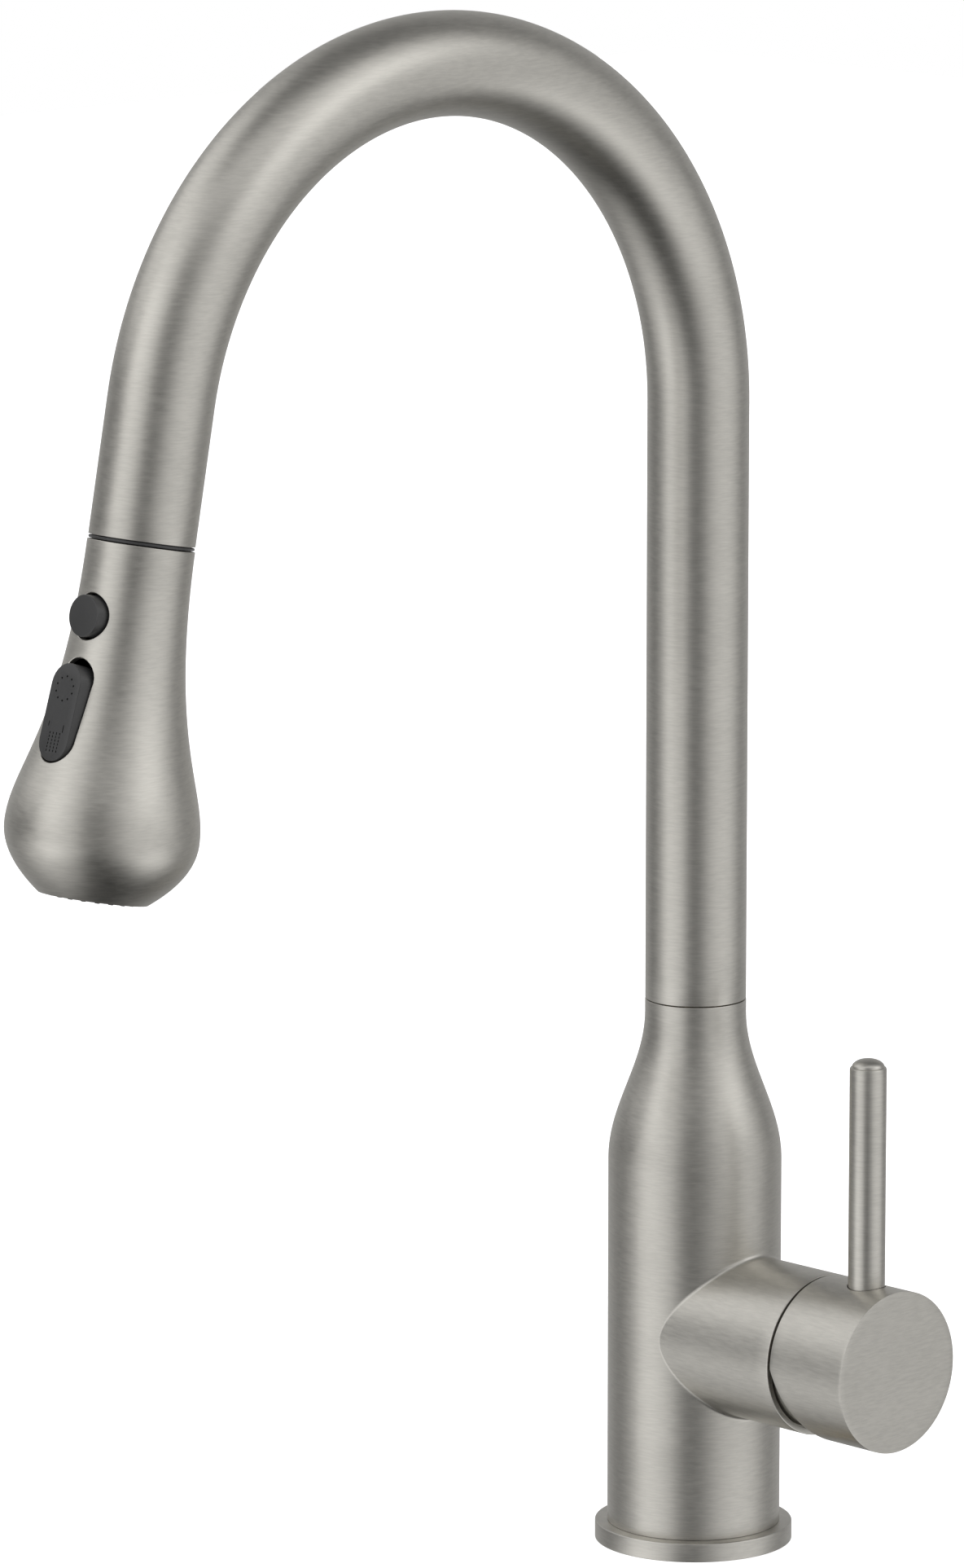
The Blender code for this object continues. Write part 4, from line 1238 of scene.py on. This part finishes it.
class FAUCET_OT_controls(PieceOperator, bpy.types.Operator):
    """Makes the pause button and the spray rocker"""

    bl_idname = "faucet.controls"
    bl_label = "Button and Rocker"

    def execute(self, context):
        self.make_button()
        self.make_rocker()
        return {"FINISHED"}

    def make_button(self):
        outline = millimetres(
            [
                (0, 17.3),
                (5.7, 17.3, 0.3),
                (5.7, 11.2),
                (6.7, 11.2),
                (6.7, 10.2),
                (4.6, 10.2),
                (4.6, 15.3),
                (1.5, 15.3),
                (1.5, 5.8),
                (0, 5.8),
            ]
        )
        mesh = lathe("pause_button", rounded(outline, closed=False), BUTTON, 72)
        placed(piece("round_pause_button", mesh, "dark_grey_plastic"), "button", "pause_button")
        self.make_spring()

    def make_spring(self):
        """The coil under the button."""
        turns, start, end, coil, wire, steps = 4.0, 8.1 * MM, 14.6 * MM, 3.2 * MM, 0.35 * MM, 160
        rise = (end - start) / (2 * math.pi * turns)
        build, rings = Build(), []
        for i in range(steps + 1):
            a = 2 * math.pi * turns * i / steps
            out = Vector((math.cos(a), math.sin(a), 0))
            along = Vector((-coil * math.sin(a), coil * math.cos(a), rise)).normalized()
            side = along.cross(out)
            centre = out * coil + Vector((0, 0, start + rise * a))
            turns_round = [2 * math.pi * k / 12 for k in range(12)]
            rings.append([centre + (out * math.cos(b) + side * math.sin(b)) * wire for b in turns_round])
        build.sweep(rings)
        made = piece("button_coil", build.mesh("button_spring", BUTTON), "stainless_steel")
        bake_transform(made)
        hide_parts("button_spring")

    def make_rocker(self):
        half, bottom, top = 5.7 * MM, -14.9 * MM, 11.85 * MM
        foot, face = 1.5 * MM, 8.35 * MM
        plan = stadium(half, bottom, top)
        levels = [(0.0, foot), (0.0, face - 0.3 * MM)]
        round_over = 0.3 * MM
        for a in (0.5, 1.0, math.pi / 2):
            levels.append((round_over * (1 - math.cos(a)), face - round_over * (1 - math.sin(a))))
        build = Build()
        rings = []
        for inset, height in levels:
            spots = [point - out * inset for point, out in plan]
            rings.append([(spot.x, spot.y, height) for spot in spots])
        build.sweep(rings)
        mesh = build.mesh("mode_rocker", ROCKER)
        boss = rods("pin_boss", [((-5.4 * MM, 0, 0), (5.4 * MM, 0, 0))], 3.0 * MM, ROCKER)
        leg_place = Matrix.Translation(ROCKER_PIN) @ Matrix.Rotation(-DOCK_TILT, 4, "X")
        leg_span = ((-1.5 * MM, -1.0 * MM, -0.8 * MM), (1.5 * MM, 10.2 * MM, 0.8 * MM))
        leg = boxes("drive_leg", [leg_span], leg_place)
        mesh = joined(mesh, boss, leg)
        pin_hole = rods("pin_hole", [((-8 * MM, 0, 0), (8 * MM, 0, 0))], 1.5 * MM, ROCKER)
        mesh = drilled(mesh, pin_hole, self.dots(face), self.dashes(face))
        placed(piece("spray_rocker", mesh, "dark_grey_plastic"), "rocker", "mode_rocker")

    def dots(self, face):
        """The spray mark, a ring of shallow round recesses."""
        depth = 0.4 * MM
        ring, middle, dots = 3.3 * MM, 4.9 * MM, 10
        runs = []
        for i in range(dots):
            a = 2 * math.pi * (i + 0.5) / dots
            x, y = ring * math.cos(a), middle + ring * math.sin(a)
            runs.append(((x, y, face - depth), (x, y, face + depth)))
        return rods("spray_mark", runs, 0.3 * MM, ROCKER, 16)

    def dashes(self, face):
        """The stream mark, columns of short recesses, and a tick on each side of the pin."""
        depth, half, length = 0.4 * MM, 0.16 * MM, 0.62 * MM
        spans = []
        for x, start, end in ((-3.1, -4.3, -5.6), (2.8, -4.8, -6.8)):
            spans.append(((x * MM - half, end * MM, face - depth), (x * MM + half, start * MM, face + depth)))
        for column in (-1.95, -0.65, 0.65, 1.95):
            for row in range(6):
                x, y = column * MM, (-7.0 - row * 0.95) * MM
                spans.append(((x - half, y - length, face - depth), (x + half, y, face + depth)))
        return boxes("stream_mark", spans, ROCKER)


class FAUCET_OT_spray_face(PieceOperator, bpy.types.Operator):
    """Makes the spray face with its soft nozzles and the aerator"""

    bl_idname = "faucet.spray_face"
    bl_label = "Spray Face"

    def execute(self, context):
        ring, count = 12.0 * MM, 20
        angles = [2 * math.pi * i / count for i in range(count)]
        places = [(ring * math.cos(a), ring * math.sin(a)) for a in angles]
        plate = millimetres(
            down_dock([(14.4, 94.0), (14.4, 96.6), (14.0, 97.0, 0.2), (6.5, 97.0, 0.3), (6.5, 94.0)])
        )
        mesh = lathe("spray_face", rounded(plate), DOCK)
        holes = [((x, y, -93 * MM), (x, y, -98 * MM)) for x, y in places]
        mesh = drilled(mesh, rods("nozzle_holes", holes, 1.1 * MM, DOCK, 20))
        placed(piece("spray_plate", mesh, "dark_grey_plastic"), "spray_head", "spray_face")
        base = millimetres(down_dock([(14.0, 91.6), (14.0, 93.7), (6.5, 93.7), (6.5, 91.6)]))
        mat = lathe("nozzle_mat", base, DOCK)
        nozzles = [((x, y, -92.5 * MM), (x, y, -97.35 * MM)) for x, y in places]
        mat = joined(mat, rods("nozzles", nozzles, 0.8 * MM, DOCK, 16, 0.3 * MM))
        placed(piece("nozzle_ring", mat, "black_rubber"), "spray_head", "nozzle_mat")
        insert = [(0, 88.0), (6.2, 88.0), (6.2, 96.2, 0.4), (5.4, 96.2, 0.2), (5.1, 95.6), (0, 95.6)]
        mesh = lathe("aerator_insert", rounded(millimetres(down_dock(insert)), closed=False), DOCK)
        streams = [(0.0, 0.0)]
        for ring, count in ((1.9, 6), (3.7, 12)):
            turns = [2 * math.pi * i / count for i in range(count)]
            streams += [(ring * MM * math.cos(a), ring * MM * math.sin(a)) for a in turns]
        bores = [((x, y, -97 * MM), (x, y, -87 * MM)) for x, y in streams]
        mesh = drilled(mesh, rods("stream_holes", bores, 0.6 * MM, DOCK, 14))
        placed(piece("aerator", mesh, "white_acetal"), "spray_head", "aerator_insert")
        return {"FINISHED"}


class FAUCET_OT_stage(PieceOperator, bpy.types.Operator):
    """Makes the pale deck, the soft studio light and the camera"""

    bl_idname = "faucet.stage"
    bl_label = "Stage"

    def execute(self, context):
        self.make_deck()
        self.make_light(context.scene)
        self.make_camera(context.scene)
        context.scene.view_settings.view_transform = "Standard"
        return {"FINISHED"}

    def make_deck(self):
        build = Build()
        reach, level = 3.0, -0.1 * MM
        corners = ((-reach, -reach), (reach, -reach), (reach, reach), (-reach, reach))
        build.cap(build.ring([(x, y, level) for x, y in corners]))
        mesh = build.mesh("deck")
        material, shader = new_material("pale_deck")
        tone = shader.noise(30, 2.0)
        shader.principled(
            {
                "Base Color": shader.tinted(tone, scaled(self.finish.deck, 0.99), self.finish.deck),
                "Roughness": 0.7,
                "Emission Color": (1.0, 1.0, 1.0, 1.0),
                "Emission Strength": 0.9,
            }
        )
        mesh.materials.append(material)
        deck = bpy.data.objects.new("deck", mesh)
        bpy.context.scene.collection.objects.link(deck)
        deck.visible_glossy = False
        deck.visible_diffuse = False
        deck.visible_shadow = False

    def make_light(self, scene):
        """A studio of soft boxes and tall strips round a dim room, seen only in reflections and as light."""
        world = bpy.data.worlds.new("soft_studio")
        world.use_nodes = True
        scene.world = world
        shader = Shader(world.node_tree)
        direction = shader.node("TexCoord", output="Generated")
        height = shader.node("SeparateXYZ", None, {0: direction}, output=2)
        level = shader.node("VectorMath", {"operation": "MULTIPLY"}, {0: direction, 1: (1.0, 1.0, 0.0)})
        level = shader.node("VectorMath", {"operation": "NORMALIZE"}, {0: level})
        soft = {"interpolation_type": "SMOOTHSTEP"}
        floor_light, room_light, floor_edge, room_edge = ROOM

        def ramp(value, start, end, dark, bright):
            return shader.node("MapRange", soft, {0: value, 1: start, 2: end, 3: dark, 4: bright})

        light = ramp(height, math.sin(floor_edge), math.sin(room_edge), floor_light, room_light)
        for azimuth, elevation, core, rim, strength in SOFTBOXES:
            aim = Vector((math.sin(azimuth), -math.cos(azimuth), 0.0)) * math.cos(elevation)
            aim.z = math.sin(elevation)
            facing = shader.node(
                "VectorMath", {"operation": "DOT_PRODUCT"}, {0: direction, 1: aim}, output="Value"
            )
            light = light + ramp(facing, math.cos(rim), math.cos(core), 0.0, strength)
        for azimuth, core, rim, bottom, top, fade, strength in STRIPS:
            aim = Vector((math.sin(azimuth), -math.cos(azimuth), 0.0))
            facing = shader.node(
                "VectorMath", {"operation": "DOT_PRODUCT"}, {0: level, 1: aim}, output="Value"
            )
            across = ramp(facing, math.cos(rim), math.cos(core), 0.0, strength)
            above = ramp(height, math.sin(bottom - fade), math.sin(bottom + fade), 0.0, 1.0)
            below = ramp(height, math.sin(top - fade), math.sin(top + fade), 1.0, 0.0)
            light = light + across * above * below
        lit = shader.node("Background", None, {"Color": (1, 1, 1, 1), "Strength": light})
        plain = shader.node("Background", None, {"Color": (1, 1, 1, 1), "Strength": 1.0})
        seen = shader.node("LightPath", output="Is Camera Ray")
        both = shader.node("MixShader", None, {0: seen, 1: lit, 2: plain})
        shader.node("OutputWorld", None, {"Surface": both})

    def make_camera(self, scene):
        data = bpy.data.cameras.new("camera")
        data.sensor_width = 36.0
        data.lens = 199.81
        data.clip_start = 0.05
        camera = bpy.data.objects.new("camera", data)
        scene.collection.objects.link(camera)
        camera.location = (1.722919, -1.738018, 0.682895)
        camera.rotation_euler = (math.radians(79.341), 0.0, math.radians(46.188))
        scene.camera = camera


FRONT = 46.2


def soft_light(*angles, strength):
    """Angles in degrees, the first one round from the front, and a strength."""
    first, *rest = angles
    return (math.radians(FRONT + first), *(math.radians(angle) for angle in rest), strength)


# The dim room: light from below and from all round, and the elevations between which one turns into the other
ROOM = (0, 0.128, math.radians(-52), math.radians(-13))
# Round soft boxes: azimuth, elevation, half angle of the core and of the rim
SOFTBOXES = (
    soft_light(12, 61, 5, 27, strength=0.69),
    soft_light(-114, 40, 5, 35.5, strength=0.9),
    soft_light(72, 41, 5, 32, strength=0.9),
    soft_light(-68.5, 25, 5, 27, strength=0.44),
    soft_light(-80.5, -41.5, 5, 40, strength=0.66),
    soft_light(176, -10, 5, 75, strength=0.38),
    soft_light(71.5, -44, 5, 28, strength=0.6),
)
# Tall strips: azimuth, half angle of the core and of the rim, lowest and highest elevation, fade
STRIPS = (
    soft_light(-53, 20, 33.5, -37.5, 63, 4, strength=0.75),
    soft_light(59.5, 3, 58, -45.5, 39, 6, strength=0.65),
)


class FAUCET_PT_panel(bpy.types.Panel):
    """Lists the faucet's pieces"""

    bl_label = "Pull Down Kitchen Faucet"
    bl_idname = "FAUCET_PT_panel"
    bl_space_type = "VIEW_3D"
    bl_region_type = "UI"
    bl_category = "Faucet"

    def draw(self, context):
        column = self.layout.column(align=True)
        for operator in OPERATORS:
            column.operator(operator.bl_idname)
        for group in (context.scene.faucet_sizes, context.scene.faucet_finish):
            box = self.layout.box()
            for name in group.bl_rna.properties.keys():
                if name not in ("rna_type", "name"):
                    box.prop(group, name)


OPERATORS = (
    FAUCET_OT_finishes,
    FAUCET_OT_inner_parts,
    FAUCET_OT_base,
    FAUCET_OT_body,
    FAUCET_OT_handle,
    FAUCET_OT_spout,
    FAUCET_OT_hose,
    FAUCET_OT_clamp,
    FAUCET_OT_head,
    FAUCET_OT_controls,
    FAUCET_OT_spray_face,
    FAUCET_OT_stage,
)
CLASSES = (FaucetSizes, FaucetFinish, *OPERATORS, FAUCET_PT_panel)


def register():
    for cls in CLASSES:
        bpy.utils.register_class(cls)
    bpy.types.Scene.faucet_sizes = bpy.props.PointerProperty(type=FaucetSizes)
    bpy.types.Scene.faucet_finish = bpy.props.PointerProperty(type=FaucetFinish)


def unregister():
    del bpy.types.Scene.faucet_finish
    del bpy.types.Scene.faucet_sizes
    for cls in reversed(CLASSES):
        bpy.utils.unregister_class(cls)


def main():
    register()
    for operator in OPERATORS:
        group, name = operator.bl_idname.split(".")
        getattr(getattr(bpy.ops, group), name)()


if __name__ == "__main__":
    main()
